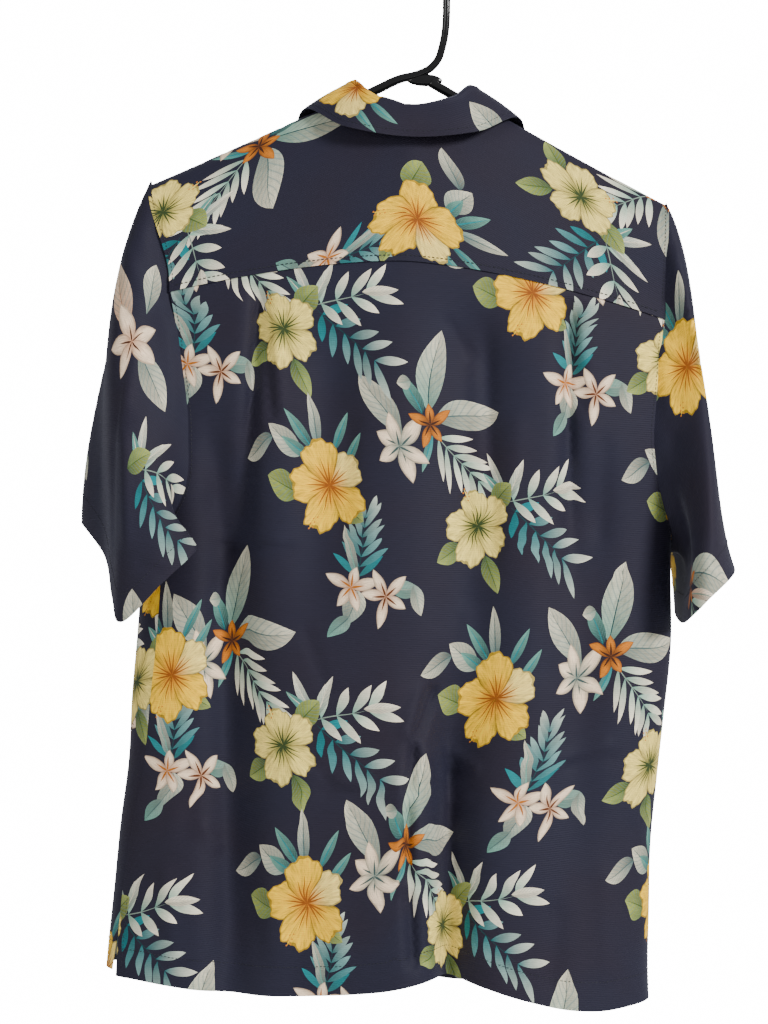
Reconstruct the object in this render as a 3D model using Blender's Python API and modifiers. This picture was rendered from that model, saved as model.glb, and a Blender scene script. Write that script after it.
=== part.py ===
"""A short-sleeved camp shirt on a black tube hanger, hung by its hook.

Metres, +Z up. The origin is the inside top of the hook. The wearer's left is +X
and the wearer's back is +Y, so the shirt shows its back to a viewer at +Y.
Every cloth piece is a thin wall on a grid of points; neighbours share the line
they are sewn along and stop SEAM_GAP short of each other.
"""

import math

import bmesh
import bpy
import numpy as np

# Cloth and sewing
WALL = 0.0014
SEAM_GAP = 0.0006
SIDE_GAP = 0.0011
LAYER_GAP = 0.0005
SLEEVE_SET = 0.0015
UNDERARM_SET = 0.0010

# Hanger
HOOK_RADIUS = 0.025
ROD_RADIUS = 0.0032
ARM_RADIUS = 0.0039
APEX_HEIGHT = -0.0925
ARM_SLOPE = 0.54
ARM_BOW = 0.16
ARM_REACH = 0.196
BAR_HEIGHT = -0.229
CORNER_RADIUS = 0.014

# Body
SHOULDER_ROUND = 0.0062
BACK_DEPTH = 0.098
FRONT_DEPTH = 0.092
SECTION_POWER = 2.4
YOKE_SEAM_HEIGHT = -0.2515
YOKE_SEAM_DIP = 0.033
YOKE_FRONT_REACH = 0.036
SHOULDER_REACHES = (-0.021, -0.010, -0.004, 0.0, 0.004, 0.010, 0.021, 0.038)
UNDERARM_HEIGHT = -0.485
VENT_TOP_HEIGHT = -0.775
HALF_SHOULDER = 0.2165

# Neck, collar and lapels
NECK_HALF_WIDTH = 0.075
NECK_BACK_DROP = 0.047
NECK_TAPER = 0.6
NECK_SHARE = 0.16
BREAK_HEIGHT = -0.262
LAP = 0.013
LAPEL_ROLL = 0.0040
FOLD_ROUND = 0.0026
COLLAR_SET = 0.0017

# Buttons
BUTTON_RADIUS = 0.0058
BUTTON_THICKNESS = 0.0024
BUTTON_BEVEL = 0.0006
BUTTON_STAND = 0.0005
BUTTON_HEIGHTS = (-0.276, -0.372, -0.468, -0.564, -0.660)

# Grid sizes
BACK_COLUMNS = 36
ARMHOLE_ROWS = 7
BODY_ROWS = 13
YOKE_COLUMNS = 18
YOKE_ROWS = 6
SIDE_COLUMNS = 8
CENTRE_COLUMNS = 7
SLEEVE_ROWS = 8
LAPEL_ROWS = 4
LAPEL_COLUMNS = 7
DENSE = 240

# height, middle across, half width
SECTIONS = (
    (-0.200, -0.003, 0.2380),
    (-0.280, -0.004, 0.2340),
    (-0.340, -0.006, 0.2285),
    (-0.410, -0.0075, 0.2240),
    (-0.485, -0.0100, 0.2200),
    (-0.560, -0.0110, 0.2220),
    (-0.620, -0.0078, 0.2213),
    (-0.670, -0.0058, 0.2198),
    (-0.725, -0.0020, 0.2205),
    (-0.780, -0.0010, 0.2225),
    (-0.830, 0.0000, 0.2245),
    (-0.870, -0.0010, 0.2270),
)

# height, then the angle round the section at which a panel ends at the armhole,
# in degrees from the side towards the back: left back, right back, left front,
# right front
ARMHOLE = (
    (-0.200, 23.5, 24.4, -23.5, -24.4),
    (-0.240, 30.0, 23.0, -29.0, -30.0),
    (-0.281, 35.0, 27.0, -32.0, -36.0),
    (-0.340, 38.0, 27.5, -33.0, -40.0),
    (-0.400, 40.0, 27.0, -30.0, -39.0),
    (-0.450, 37.0, 16.0, -6.0, -27.0),
    (-0.485, 26.0, -6.0, 26.0, -6.0),
)

# height, left and right side seam, in the same degrees
SIDE_SEAM = (
    (-0.485, 26.0, -6.0),
    (-0.560, 26.5, -6.0),
    (-0.650, 25.0, -6.0),
    (-0.720, 21.5, -5.0),
    (-0.775, 18.5, -4.0),
    (-0.870, 17.5, -3.0),
)
VENT_BACK_TURN = 2.0
VENT_FRONT_TURN = -7.0

# across, height of the hem
BACK_HEM = (
    (-0.232, -0.850),
    (-0.210, -0.853),
    (-0.185, -0.856),
    (-0.160, -0.855),
    (-0.119, -0.847),
    (-0.085, -0.838),
    (-0.050, -0.832),
    (-0.022, -0.833),
    (0.010, -0.843),
    (0.045, -0.849),
    (0.125, -0.852),
    (0.200, -0.847),
)
FRONT_HEM = (
    (-0.232, -0.848),
    (-0.120, -0.856),
    (0.000, -0.852),
    (0.120, -0.856),
    (0.228, -0.842),
)

# Troughs between the soft folds that hang from the shoulders:
# across at top, across at foot, drop below the panel's top line where it starts,
# is full, begins to fade and ends, depth, half width, and the lip that leans over
# it, positive when the cloth on its +X side leans towards -X
BACK_FOLDS = (
    (0.121, 0.128, 0.004, 0.026, 0.070, 0.260, 0.012, 0.013, 0.006),
    (-0.139, -0.146, 0.004, 0.026, 0.070, 0.300, 0.012, 0.014, -0.006),
    (0.150, 0.116, 0.090, 0.210, 0.520, 0.680, 0.026, 0.036, 0.012),
    (0.056, 0.062, 0.020, 0.090, 0.190, 0.350, 0.013, 0.034, 0.000),
    (-0.058, -0.066, 0.010, 0.080, 0.340, 0.450, 0.017, 0.036, 0.000),
    (-0.040, -0.056, 0.300, 0.440, 0.700, 0.800, 0.036, 0.037, 0.021),
    (-0.160, -0.150, 0.110, 0.190, 0.360, 0.560, 0.010, 0.030, 0.000),
    (0.060, 0.066, 0.440, 0.550, 0.700, 0.800, 0.009, 0.036, 0.000),
)
FRONT_FOLDS = (
    (0.135, 0.150, 0.050, 0.190, 0.600, 0.720, 0.016, 0.034, 0.006),
    (0.070, 0.062, 0.220, 0.360, 0.680, 0.750, 0.012, 0.032, 0.000),
    (-0.132, -0.140, 0.050, 0.180, 0.580, 0.720, 0.017, 0.036, -0.008),
    (-0.072, -0.060, 0.250, 0.400, 0.680, 0.750, 0.013, 0.030, 0.000),
)

# share round the cuff from its top over the back, across, depth, height
CUFF_LEFT = (
    (0.00, 0.2400, 0.012, -0.502),
    (0.10, 0.2280, 0.050, -0.535),
    (0.22, 0.2180, 0.073, -0.555),
    (0.36, 0.1850, 0.082, -0.522),
    (0.46, 0.1600, 0.069, -0.494),
    (0.54, 0.1900, 0.055, -0.512),
    (0.63, 0.2150, 0.034, -0.527),
    (0.72, 0.2190, -0.008, -0.530),
    (0.82, 0.2290, -0.042, -0.512),
    (0.92, 0.2640, -0.026, -0.477),
)
CUFF_RIGHT = (
    (0.00, -0.2810, 0.004, -0.490),
    (0.12, -0.2770, 0.046, -0.497),
    (0.25, -0.2560, 0.078, -0.515),
    (0.36, -0.2440, 0.066, -0.530),
    (0.50, -0.2420, 0.000, -0.540),
    (0.64, -0.2440, -0.066, -0.529),
    (0.75, -0.2580, -0.078, -0.514),
    (0.88, -0.2780, -0.044, -0.495),
)

# share from the middle of the back to the front end, then the fold and the
# leaf's edge, each as across, depth, height
COLLAR = (
    (0.00, (0.000, 0.0310, -0.1215), (0.000, 0.0390, -0.1500)),
    (0.30, (0.034, 0.0255, -0.1130), (0.055, 0.0360, -0.1430)),
    (0.56, (0.052, 0.0020, -0.1005), (0.0905, 0.0020, -0.1260)),
    (0.78, (0.057, -0.0230, -0.1290), (0.0985, -0.0255, -0.1570)),
    (1.00, (0.056, -0.0370, -0.1730), (0.1010, -0.0360, -0.1900)),
)
COLLAR_END = 0.062

NAVY = (0.020, 0.022, 0.045, 1.0)
BLACK = (0.012, 0.012, 0.013, 1.0)
SHELL_BROWN = (0.070, 0.040, 0.022, 1.0)

BACK, FRONT = 1, -1
LEFT, RIGHT = 1, -1

# How a sleeve leaves the shoulder, outwards and down, and how much further out it
# falls at the cuff.
SLEEVE_WAY = {LEFT: (0.40, -0.90, -0.15), RIGHT: (0.35, -0.65, 0.30)}


def smooth_table(values, rows, column):
    """Reads a column of rows at values, on a smooth curve through the rows."""
    table = sorted((row[0], row[column]) for row in rows)
    xs, ys = (np.array(part) for part in zip(*table))
    slopes = np.gradient(ys, xs)
    values = np.clip(values, xs[0], xs[-1])
    i = np.clip(np.searchsorted(xs, values) - 1, 0, len(xs) - 2)
    span = xs[i + 1] - xs[i]
    t = (values - xs[i]) / span
    low = ys[i] * (1 + 2 * t) * (1 - t) ** 2 + slopes[i] * span * t * (1 - t) ** 2
    high = ys[i + 1] * (3 - 2 * t) * t**2 - slopes[i + 1] * span * t**2 * (1 - t)
    return low + high


def ramp(value, start, end):
    """0 at start, 1 at end, smooth between."""
    t = np.clip((value - start) / (end - start), 0, 1)
    return t * t * (3 - 2 * t)


def arm_height(across):
    """Height of the middle of the hanger's arm."""
    reach = np.sqrt(np.square(across) + 0.004**2) - 0.004
    return APEX_HEIGHT - ARM_SLOPE * reach + ARM_BOW * reach**2


def ridge_height(across):
    """Height of the cloth where it passes over the arm."""
    return arm_height(across) + (ARM_RADIUS + 0.0004 + WALL / 2) / math.cos(math.atan(ARM_SLOPE))


def depth_at(drop, side):
    """How far the cloth stands from the hanger's plane at a drop below the ridge."""
    full = BACK_DEPTH if side == BACK else FRONT_DEPTH
    drop = np.maximum(drop, 0)
    return full * np.sqrt(1 - np.exp(-2 * SHOULDER_ROUND * drop / full**2))


def flatness(across, height, drop):
    """1 over the arm, and the section's own rounding towards the sides below it."""
    middle = smooth_table(height, SECTIONS, 1)
    half = smooth_table(height, SECTIONS, 2)
    share = np.clip(np.abs((across - middle) / half), 0, 1)
    rounding = (1 - share**SECTION_POWER) ** (1 / SECTION_POWER)
    return 1 + (rounding - 1) * ramp(drop, 0, 0.10)


def fold_shift(across, drop, folds):
    """(sideways, inwards) movement that the folds give to the cloth."""
    sideways = np.zeros_like(across)
    inwards = np.zeros_like(across)
    for top, foot, first, full, fall, last, depth, width, lip in folds:
        middle = top + (foot - top) * np.clip((drop - first) / (last - first), 0, 1)
        strength = ramp(drop, first, full) * ramp(drop, last, fall)
        away = (across - middle) / width
        inwards += strength * depth * np.exp(-(away**2) * 1.6)
        beside = away - np.sign(lip) * 0.85
        sideways -= strength * lip * np.exp(-(beside**2) * 1.3)
        inwards -= strength * abs(lip) * 0.45 * np.exp(-(beside**2) * 1.6)
    return sideways, inwards


def round_section(angle, height):
    """Across and depth of the section at an angle in degrees: 0 is the wearer's
    left side, 90 the back, 180 the right side and -90 or 270 the front."""
    middle = smooth_table(height, SECTIONS, 1)
    half = smooth_table(height, SECTIONS, 2)
    turn = np.radians(angle)
    along, out = np.cos(turn), np.sin(turn)
    across = middle + half * np.sign(along) * np.abs(along) ** (2 / SECTION_POWER)
    drop = ridge_height(across) - height
    rounding = np.abs(out) ** (2 / SECTION_POWER)
    factor = 1 + (rounding - 1) * ramp(drop, 0, 0.10)
    depth = np.where(out >= 0, depth_at(drop, BACK), -depth_at(drop, FRONT))
    return across, depth * factor


def edge_angle(height, side, face):
    """Angle, as in round_section, at which a panel of this face ends on this side."""
    column = {(LEFT, BACK): 1, (RIGHT, BACK): 2, (LEFT, FRONT): 3, (RIGHT, FRONT): 4}
    armhole = smooth_table(height, ARMHOLE, column[side, face])
    seam = smooth_table(height, SIDE_SEAM, 1 if side == LEFT else 2)
    opening = np.clip((VENT_TOP_HEIGHT - height) / 0.075, 0, 1)
    seam = seam + opening * (VENT_BACK_TURN if face == BACK else VENT_FRONT_TURN)
    angle = np.where(height > UNDERARM_HEIGHT, armhole, seam)
    return angle if side == LEFT else 180 - angle


def yoke_seam_height(across):
    return YOKE_SEAM_HEIGHT - YOKE_SEAM_DIP * (np.abs(across) / 0.2) ** 1.6


def drop_along(reach, side):
    """Drop below the ridge after reach metres of cloth from the ridge."""
    drops = np.linspace(0, 1, 400) ** 2 * 0.3
    ways = depth_at(drops, side)
    lengths = np.concatenate([[0], np.cumsum(np.hypot(np.diff(drops), np.diff(ways)))])
    return np.interp(reach, lengths, drops)


def neck_drop(across):
    """Drop of the neck seam below the ridge line on the back half of the neck."""
    share = np.clip(np.abs(across) / NECK_HALF_WIDTH, 0, 1)
    return NECK_BACK_DROP * (1 - share**2.2)


def even_along(points, count):
    """Count + 1 points at even steps along a dense line of points."""
    steps = np.linalg.norm(np.diff(points, axis=0), axis=1)
    lengths = np.concatenate([[0], np.cumsum(steps)])
    shares = np.linspace(0, 1, count + 1)
    places = shares * (lengths[-1] - SIDE_GAP) + SIDE_GAP / 2
    return np.stack([np.interp(places, lengths, points[:, k]) for k in range(3)], axis=1)


def back_row(share):
    """Dense points of the back panel's row, from the right edge to the left."""
    s = np.linspace(0, 1, DENSE)
    height = np.full(DENSE, YOKE_SEAM_HEIGHT + (-0.85 - YOKE_SEAM_HEIGHT) * share)
    for _ in range(6):
        right, left = edge_angle(height, RIGHT, BACK), edge_angle(height, LEFT, BACK)
        across, depth = round_section(right + (left - right) * s, height)
        top, foot = yoke_seam_height(across), smooth_table(across, BACK_HEM, 1)
        height = top - SEAM_GAP / 2 + (foot - top) * share
    calm = ramp(s, 0, 0.07) * ramp(s, 1, 0.93)
    sideways, inwards = fold_shift(across, top - height, BACK_FOLDS)
    return np.stack([across + sideways * calm, depth - inwards * calm, height], axis=1)


def share_at_height(row, column, height):
    """The row share at which a panel's edge reaches a height."""
    low, high = 0.0, 1.0
    for _ in range(30):
        middle = (low + high) / 2
        low, high = (middle, high) if row(middle)[column][2] > height else (low, middle)
    return (low + high) / 2


def upper_shares(row, columns):
    """Row shares of a panel from its top to the underarm."""
    under = np.mean([share_at_height(row, column, UNDERARM_HEIGHT) for column in columns])
    return np.linspace(0, under, ARMHOLE_ROWS + 1)


def back_grid():
    upper = upper_shares(back_row, (0, -1))
    shares = np.concatenate([upper, np.linspace(upper[-1], 1, BODY_ROWS + 1)[1:]])
    return np.stack([even_along(back_row(share), BACK_COLUMNS) for share in shares])


def front_top(across, side):
    """Height of the front's top edge: the yoke's front seam, then the neck."""
    seam = ridge_height(across) - drop_along(YOKE_FRONT_REACH, FRONT)
    corner = ridge_height(NECK_HALF_WIDTH) - drop_along(YOKE_FRONT_REACH, FRONT)
    out = across * side / NECK_HALF_WIDTH
    roll = BREAK_HEIGHT + (corner - BREAK_HEIGHT) * np.clip(out, 0, 1) ** 1.15
    return np.where(out < 1, roll, seam)


def front_row(share, side, start, end):
    """Dense points of a front's row between two shares of its width: 0 is the side
    edge, 1 the line below the neck corner and 2 the centre front edge."""
    s = np.linspace(start, end, DENSE)
    height = np.full(DENSE, -0.17 + (-0.85 + 0.17) * share)
    for _ in range(8):
        edge = edge_angle(height, side, FRONT)
        edge = edge if side == LEFT else edge - 360
        middle = smooth_table(height, SECTIONS, 1)
        half = smooth_table(height, SECTIONS, 2)
        corner = angle_across(side * NECK_HALF_WIDTH, middle, half)
        centre = angle_across(-side * LAP, middle, half)
        angle = np.where(s < 1, edge + (corner - edge) * s, corner + (centre - corner) * (s - 1))
        across, depth = round_section(angle, height)
        top, foot = front_top(across, side), smooth_table(across, FRONT_HEM, 1)
        height = top - SEAM_GAP / 2 + (foot - top) * share
    calm = ramp(s, 0, 0.25) * ramp(s, 2, 1.5) * ramp(share, 0, 0.1)
    sideways, inwards = fold_shift(across, BREAK_HEIGHT - height, FRONT_FOLDS)
    layer = side * (WALL + LAYER_GAP) / 2 * ramp(s, 1.0, 1.6)
    return np.stack([across + sideways * calm, depth + inwards * calm - layer, height], axis=1)


def angle_across(across, middle, half):
    """Angle of the section's front half at a place across."""
    share = np.clip((across - middle) / half, -1, 1)
    along = np.sign(share) * np.abs(share) ** (SECTION_POWER / 2)
    return -np.degrees(np.arccos(along))


def front_grid(side, back):
    """The front's points. Below the underarm its side edge has the back's heights,
    so that the two meet point to point down the side seam."""

    def edge(share):
        return front_row(share, side, 0, 1)

    heights = back[ARMHOLE_ROWS + 1 :, -1 if side == LEFT else 0, 2]
    lower = [share_at_height(edge, 0, height) for height in heights[:-1]]
    rows = []
    for share in (*upper_shares(edge, (0,)), *lower, 1.0):
        outer = even_along(edge(share), SIDE_COLUMNS)
        inner = even_along(front_row(share, side, 1, 2), CENTRE_COLUMNS)
        rows.append(np.concatenate([outer, inner[1:]]))
    return np.stack(rows)


def yoke_point(across, reach):
    """Point of the yoke at reach metres over the ridge, positive to the back."""
    drop = np.where(reach >= 0, drop_along(np.abs(reach), BACK), drop_along(np.abs(reach), FRONT))
    height = ridge_height(across) - drop
    depth = np.where(reach >= 0, depth_at(drop, BACK), -depth_at(drop, FRONT))
    return np.stack([across, depth * flatness(across, height, drop), height], axis=-1)


def reach_of(drop, side):
    """Metres of cloth from the ridge to a drop below it."""
    reaches = np.linspace(0, 0.3, 600)
    return np.interp(drop, drop_along(reaches, side), reaches)


def yoke_lines():
    """(neck, outer) lines of the yoke as (across, reach) points, from the wearer's
    left front seam round the back of the neck to the right one."""
    over = np.array([SEAM_GAP - YOKE_FRONT_REACH, *SHOULDER_REACHES])
    neck, outer = [], []
    corners = {}
    for side in (LEFT, RIGHT):
        edge = back_row(0)[-1 if side == LEFT else 0]
        corners[side] = (edge[0], float(reach_of(ridge_height(edge[0]) - edge[2], BACK)))
    for reach in over:
        neck.append(neck_corner(reach, LEFT))
        outer.append((armhole_across(reach, LEFT, corners), reach))
    for share in np.linspace(0, 1, YOKE_COLUMNS + 1):
        along = 1 - 2 * share
        across = corners[LEFT][0] * (1 - share) + corners[RIGHT][0] * share
        seam = float(reach_of(ridge_height(across) - yoke_seam_height(across), BACK))
        inner = NECK_HALF_WIDTH * 0.955 * np.sign(along) * abs(along) ** 0.9
        neck.append((inner, float(reach_of(neck_drop(inner), BACK))))
        outer.append((across, seam))
    for reach in over[::-1]:
        neck.append(neck_corner(reach, RIGHT))
        outer.append((armhole_across(reach, RIGHT, corners), reach))
    return np.array(neck), np.array(outer)


def neck_corner(reach, side):
    """(across, reach) of the neck line where the yoke's edge is at a reach."""
    behind = max(reach, 0)
    return side * NECK_HALF_WIDTH * (1 - NECK_TAPER * behind), min(reach, 0) + NECK_SHARE * behind


def armhole_across(reach, side, corners):
    """Where the yoke ends across at a reach over the ridge."""
    corner, far = corners[side]
    front = front_row(0, side, 0, 1)[0][0]
    tip = side * HALF_SHOULDER
    if reach >= 0:
        return tip + (corner - tip) * ramp(reach, 0, far)
    return tip + (front - tip) * ramp(-reach, 0, YOKE_FRONT_REACH)


def yoke_grid():
    """Rows from the neck to the outer edge, columns round the neck."""
    neck, outer = yoke_lines()
    rows = []
    for share in np.linspace(0, 1, YOKE_ROWS + 1):
        inset = SEAM_GAP / 2 / 0.12
        line = neck + (outer - neck) * (inset + (1 - 2 * inset) * share)
        rows.append(yoke_point(line[:, 0], line[:, 1]))
    return np.stack(rows)


def armhole_loop(side, yoke, back, front):
    """The points that the sleeve is set on, from the yoke's front end over the
    shoulder, down the back to the underarm and up the front."""
    ends = yoke[-1, :10] if side == LEFT else yoke[-1, ::-1][:10]
    behind = back[1 : ARMHOLE_ROWS + 1, -1 if side == LEFT else 0]
    ahead = front[1:ARMHOLE_ROWS, 0][::-1]
    return np.concatenate([ends, behind, ahead])


def round_table(shares, rows):
    """Points of a closed loop at shares round it, from a table of its points."""
    first, last = rows[0], rows[-1]
    looped = [(last[0] - 1, *last[1:]), *rows, (1.0, *first[1:]), (1 + rows[1][0], *rows[1][1:])]
    return np.stack([smooth_table(shares, looped, column) for column in (1, 2, 3)], axis=1)


def sleeve_grid(side, loop):
    """Rows from the armhole to the cuff, columns round the sleeve."""
    steps = np.linalg.norm(np.roll(loop, -1, axis=0) - loop, axis=1)
    shares = np.concatenate([[0], np.cumsum(steps)[:-1]]) / steps.sum()
    shares = (shares - shares[4]) % 1.0
    cuff = round_table(shares, CUFF_LEFT if side == LEFT else CUFF_RIGHT)
    spread = np.clip(loop[:, 1:2] / 0.03, -1, 1) * np.array([0.0, 0.55, 0.0])
    low = ramp(loop[:, 2:], -0.40, -0.47)
    high = ramp(loop[:, 2:], -0.36, -0.20)
    out, down, away = SLEEVE_WAY[side]
    lead = np.array([side * 0.75, 0.0, -0.35]) + low * np.array([side * 0.6, 0.0, 0.5]) + spread
    lead = lead + high * np.array([side * (out - 0.75), 0.0, down + 0.35])
    fall = np.array([side * 0.10, 0.0, -0.95]) + high * np.array([side * away, 0.0, 0.0])
    lengths = np.linalg.norm(cuff - loop, axis=1, keepdims=True)
    rows = []
    for t in np.linspace(0, 1, SLEEVE_ROWS + 1):
        start = loop * (2 * t**3 - 3 * t**2 + 1) + lead * lengths * (t**3 - 2 * t**2 + t)
        end = cuff * (3 * t**2 - 2 * t**3) + fall * lengths * (t**3 - t**2)
        rows.append(start + end)
    grid = np.stack(rows)
    first = grid[1] - grid[0]
    grid[0] += first / np.linalg.norm(first, axis=1, keepdims=True) * SLEEVE_SET
    grid[0, :, 0] += side * UNDERARM_SET * low[:, 0]
    return grid


def neck_line():
    """The left half of the line that the collar is sewn on, from the middle of the
    back over the shoulder and down the front to the collar's end."""
    neck, _ = yoke_lines()
    half = neck[: len(neck) // 2 + 1][::-1]
    half = np.concatenate([half[: YOKE_COLUMNS // 2 : 2], half[YOKE_COLUMNS // 2 :]])
    behind = yoke_point(half[:, 0], half[:, 1])
    across = np.linspace(NECK_HALF_WIDTH, COLLAR_END, 5)[1:]
    height = front_top(across, LEFT)
    drop = ridge_height(across) - height
    ahead = np.stack([across, -depth_at(drop, FRONT) * flatness(across, height, drop), height], axis=1)
    return np.concatenate([behind, ahead])


def collar_grid():
    """Rows from the neck seam over the fold to the leaf's edge, columns from the
    right front end round the back to the left one."""
    line = neck_line()
    lengths = np.concatenate([[0], np.cumsum(np.linalg.norm(np.diff(line, axis=0), axis=1))])
    shares = lengths / lengths[-1]
    places = np.concatenate([-shares[:0:-1], shares])
    seam = np.concatenate([line[:0:-1] * (-1, 1, 1), line])
    lines = []
    for column in (1, 2):
        rows = [(row[0], *row[column]) for row in COLLAR]
        table = [(-row[0], -row[1], row[2], row[3]) for row in rows[:0:-1]] + rows
        lines.append(np.stack([smooth_table(places, table, k) for k in (1, 2, 3)], axis=1))
    fold, edge = lines
    away = edge - fold
    away[:, 2] = 0
    away /= np.linalg.norm(away, axis=1, keepdims=True)
    up = np.array([0, 0, 1.0])
    inner = fold - (away + up) * FOLD_ROUND
    outer = fold + (away - up) * FOLD_ROUND
    rise = inner - seam
    base = seam + rise / np.linalg.norm(rise, axis=1, keepdims=True) * COLLAR_SET
    rows = [base, (base + inner) / 2, inner, fold, outer]
    for share in (0.35, 0.7, 1.0):
        rows.append(outer + (edge - outer) * share + away * 0.002 * math.sin(math.pi * share))
    return np.stack(rows)


def lapel_grid(side):
    """The front's turned-back top, from the roll line outwards: rows across it,
    columns up from the break to the collar's end. It lies on the front."""
    rows = []
    layer = (WALL + LAYER_GAP) / 2 if side == LEFT else 0
    up = np.linspace(0, 1, LAPEL_COLUMNS + 1)
    roll = 0.012 + (COLLAR_END - 0.013) * up
    for out in np.linspace(0, 1, LAPEL_ROWS + 1):
        across = roll + out * (0.008 + 0.042 * up)
        height = front_top(roll, LEFT) - 0.0015 - out * (0.012 + 0.018 * up)
        drop = ridge_height(across) - height
        depth = depth_at(drop, FRONT) * flatness(side * across, height, drop)
        lift = WALL + LAYER_GAP + layer + LAPEL_ROLL * math.sin(math.pi * out) * up
        rows.append(np.stack([side * across, -depth - lift, height], axis=1))
    return np.stack(rows)


def material(name, colour, roughness):
    made = bpy.data.materials.new(name)
    made.use_nodes = True
    shader = made.node_tree.nodes["Principled BSDF"]
    shader.inputs["Base Color"].default_value = colour
    shader.inputs["Roughness"].default_value = roughness
    return made


def new_object(name, mesh, finish):
    made = bpy.data.objects.new(name, mesh)
    made.data.materials.append(finish)
    parts.objects.link(made)
    return made


def cloth_wall(name, grid, finish, closed=False):
    """A wall of cloth on a grid of points, laid on a flat grid or an open tube."""
    rows, columns = grid.shape[:2]
    shape = bmesh.new()
    verts = [[shape.verts.new(point) for point in row] for row in grid]
    for i in range(rows - 1):
        for j in range(columns if closed else columns - 1):
            k = (j + 1) % columns
            shape.faces.new((verts[i][j], verts[i + 1][j], verts[i + 1][k], verts[i][k]))
    bmesh.ops.recalc_face_normals(shape, faces=shape.faces)
    mesh = bpy.data.meshes.new(name)
    shape.to_mesh(mesh)
    shape.free()
    mesh.shade_smooth()
    made = new_object(name, mesh, finish)
    wall = made.modifiers.new("wall", "SOLIDIFY")
    wall.thickness = WALL
    wall.offset = 0
    wall.use_even_offset = False
    wall.use_quality_normals = True
    return made


def tube(name, points, radii, radius):
    """A mesh tube of eight sides through points, its caps welded."""
    line = bpy.data.curves.new(name, "CURVE")
    line.dimensions = "3D"
    line.bevel_depth = radius
    line.bevel_resolution = 2
    line.use_fill_caps = True
    spline = line.splines.new("POLY")
    spline.points.add(len(points) - 1)
    for point, place, share in zip(spline.points, points, radii):
        point.co = (*place, 1)
        point.radius = share
    guide = bpy.data.objects.new(name + "_line", line)
    bpy.context.scene.collection.objects.link(guide)
    graph = bpy.context.evaluated_depsgraph_get()
    mesh = bpy.data.meshes.new_from_object(guide.evaluated_get(graph))
    bpy.data.objects.remove(guide)
    shape = bmesh.new()
    shape.from_mesh(mesh)
    bmesh.ops.remove_doubles(shape, verts=shape.verts, dist=0.00001)
    bmesh.ops.recalc_face_normals(shape, faces=shape.faces)
    shape.to_mesh(mesh)
    shape.free()
    return mesh


def arc(centre, radius, start, end, count):
    """Points of an arc in the hanger's plane, angles in degrees."""
    turns = np.radians(np.linspace(start, end, count))
    across, height = centre
    return [(across + radius * math.cos(t), 0.0, height + radius * math.sin(t)) for t in turns]


def make_hanger(finish):
    """Hook, left arm, bottom bar and right arm on one line, closed by a web."""
    hook = arc((0, ROD_RADIUS - HOOK_RADIUS), HOOK_RADIUS, -22, 180, 15)
    rod_foot = (-0.0232, 0.0, -0.0690)
    bend = [(-0.0205, 0.0, -0.0785), (-0.0140, 0.0, -0.0868), (-0.0050, 0.0, -0.0918)]
    left = [(x, 0.0, float(arm_height(x))) for x in np.linspace(0.012, ARM_REACH, 9)]
    corner = (ARM_REACH - 0.002, BAR_HEIGHT + CORNER_RADIUS)
    turn_left = arc(corner, CORNER_RADIUS, 25, -90, 6)
    turn_right = arc((-corner[0], corner[1]), CORNER_RADIUS, -90, -205, 6)
    bar = [(x, 0.0, BAR_HEIGHT) for x in (0.1, 0.0, -0.1)]
    right = [(-x, 0.0, float(arm_height(x))) for x in np.linspace(ARM_REACH, 0.016, 9)]
    thin = hook + [rod_foot] + bend
    thick = left + turn_left + bar + turn_right + right
    radii = [ROD_RADIUS / ARM_RADIUS] * len(thin) + [1.0] * len(thick)
    frame = new_object("hanger", tube("hanger", thin + thick, radii, ARM_RADIUS), finish)
    shape = bmesh.new()
    bmesh.ops.create_uvsphere(shape, u_segments=14, v_segments=8, radius=1)
    bmesh.ops.scale(shape, vec=(0.0150, ARM_RADIUS * 0.80, 0.0052), verts=shape.verts)
    bmesh.ops.translate(shape, vec=(-0.0095, 0, -0.0968), verts=shape.verts)
    mesh = bpy.data.meshes.new("web")
    shape.to_mesh(mesh)
    shape.free()
    web = bpy.data.objects.new("web", mesh)
    web.hide_render = True
    web.display_type = "WIRE"
    cutters.objects.link(web)
    join = frame.modifiers.new("web", "BOOLEAN")
    join.operation = "UNION"
    join.object = web
    frame.data.shade_smooth()


def make_buttons(finish):
    """Buttons along the centre front, each just off the left front's face."""
    for number, height in enumerate(BUTTON_HEIGHTS, 1):
        drop = float(ridge_height(0.0)) - height
        face = -float(depth_at(drop, FRONT) * flatness(0.0, height, drop))
        face -= (WALL + LAYER_GAP) / 2 + WALL / 2
        shape = bmesh.new()
        bmesh.ops.create_cone(
            shape,
            cap_ends=True,
            segments=14,
            radius1=BUTTON_RADIUS,
            radius2=BUTTON_RADIUS,
            depth=BUTTON_THICKNESS,
        )
        rims = [edge for edge in shape.edges if edge.verts[0].co.z * edge.verts[1].co.z > 0]
        bmesh.ops.bevel(
            shape,
            geom=rims,
            offset=BUTTON_BEVEL,
            segments=1,
            profile=0.5,
            affect="EDGES",
            material=-1,
        )
        mesh = bpy.data.meshes.new("button")
        shape.to_mesh(mesh)
        shape.free()
        button = new_object(f"button_{number}", mesh, finish)
        button.rotation_euler = (math.radians(90), 0, 0)
        button.location = (0, face - BUTTON_STAND - BUTTON_THICKNESS / 2, height)


for stale in list(bpy.data.objects):
    bpy.data.objects.remove(stale)
parts = bpy.data.collections.new("hawaiian shirt")
cutters = bpy.data.collections.new("cutters")
bpy.context.scene.collection.children.link(parts)
bpy.context.scene.collection.children.link(cutters)

cloth = material("printed crepe", NAVY, 0.85)
plastic = material("black plastic", BLACK, 0.3)
shell = material("brown shell", SHELL_BROWN, 0.4)

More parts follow.
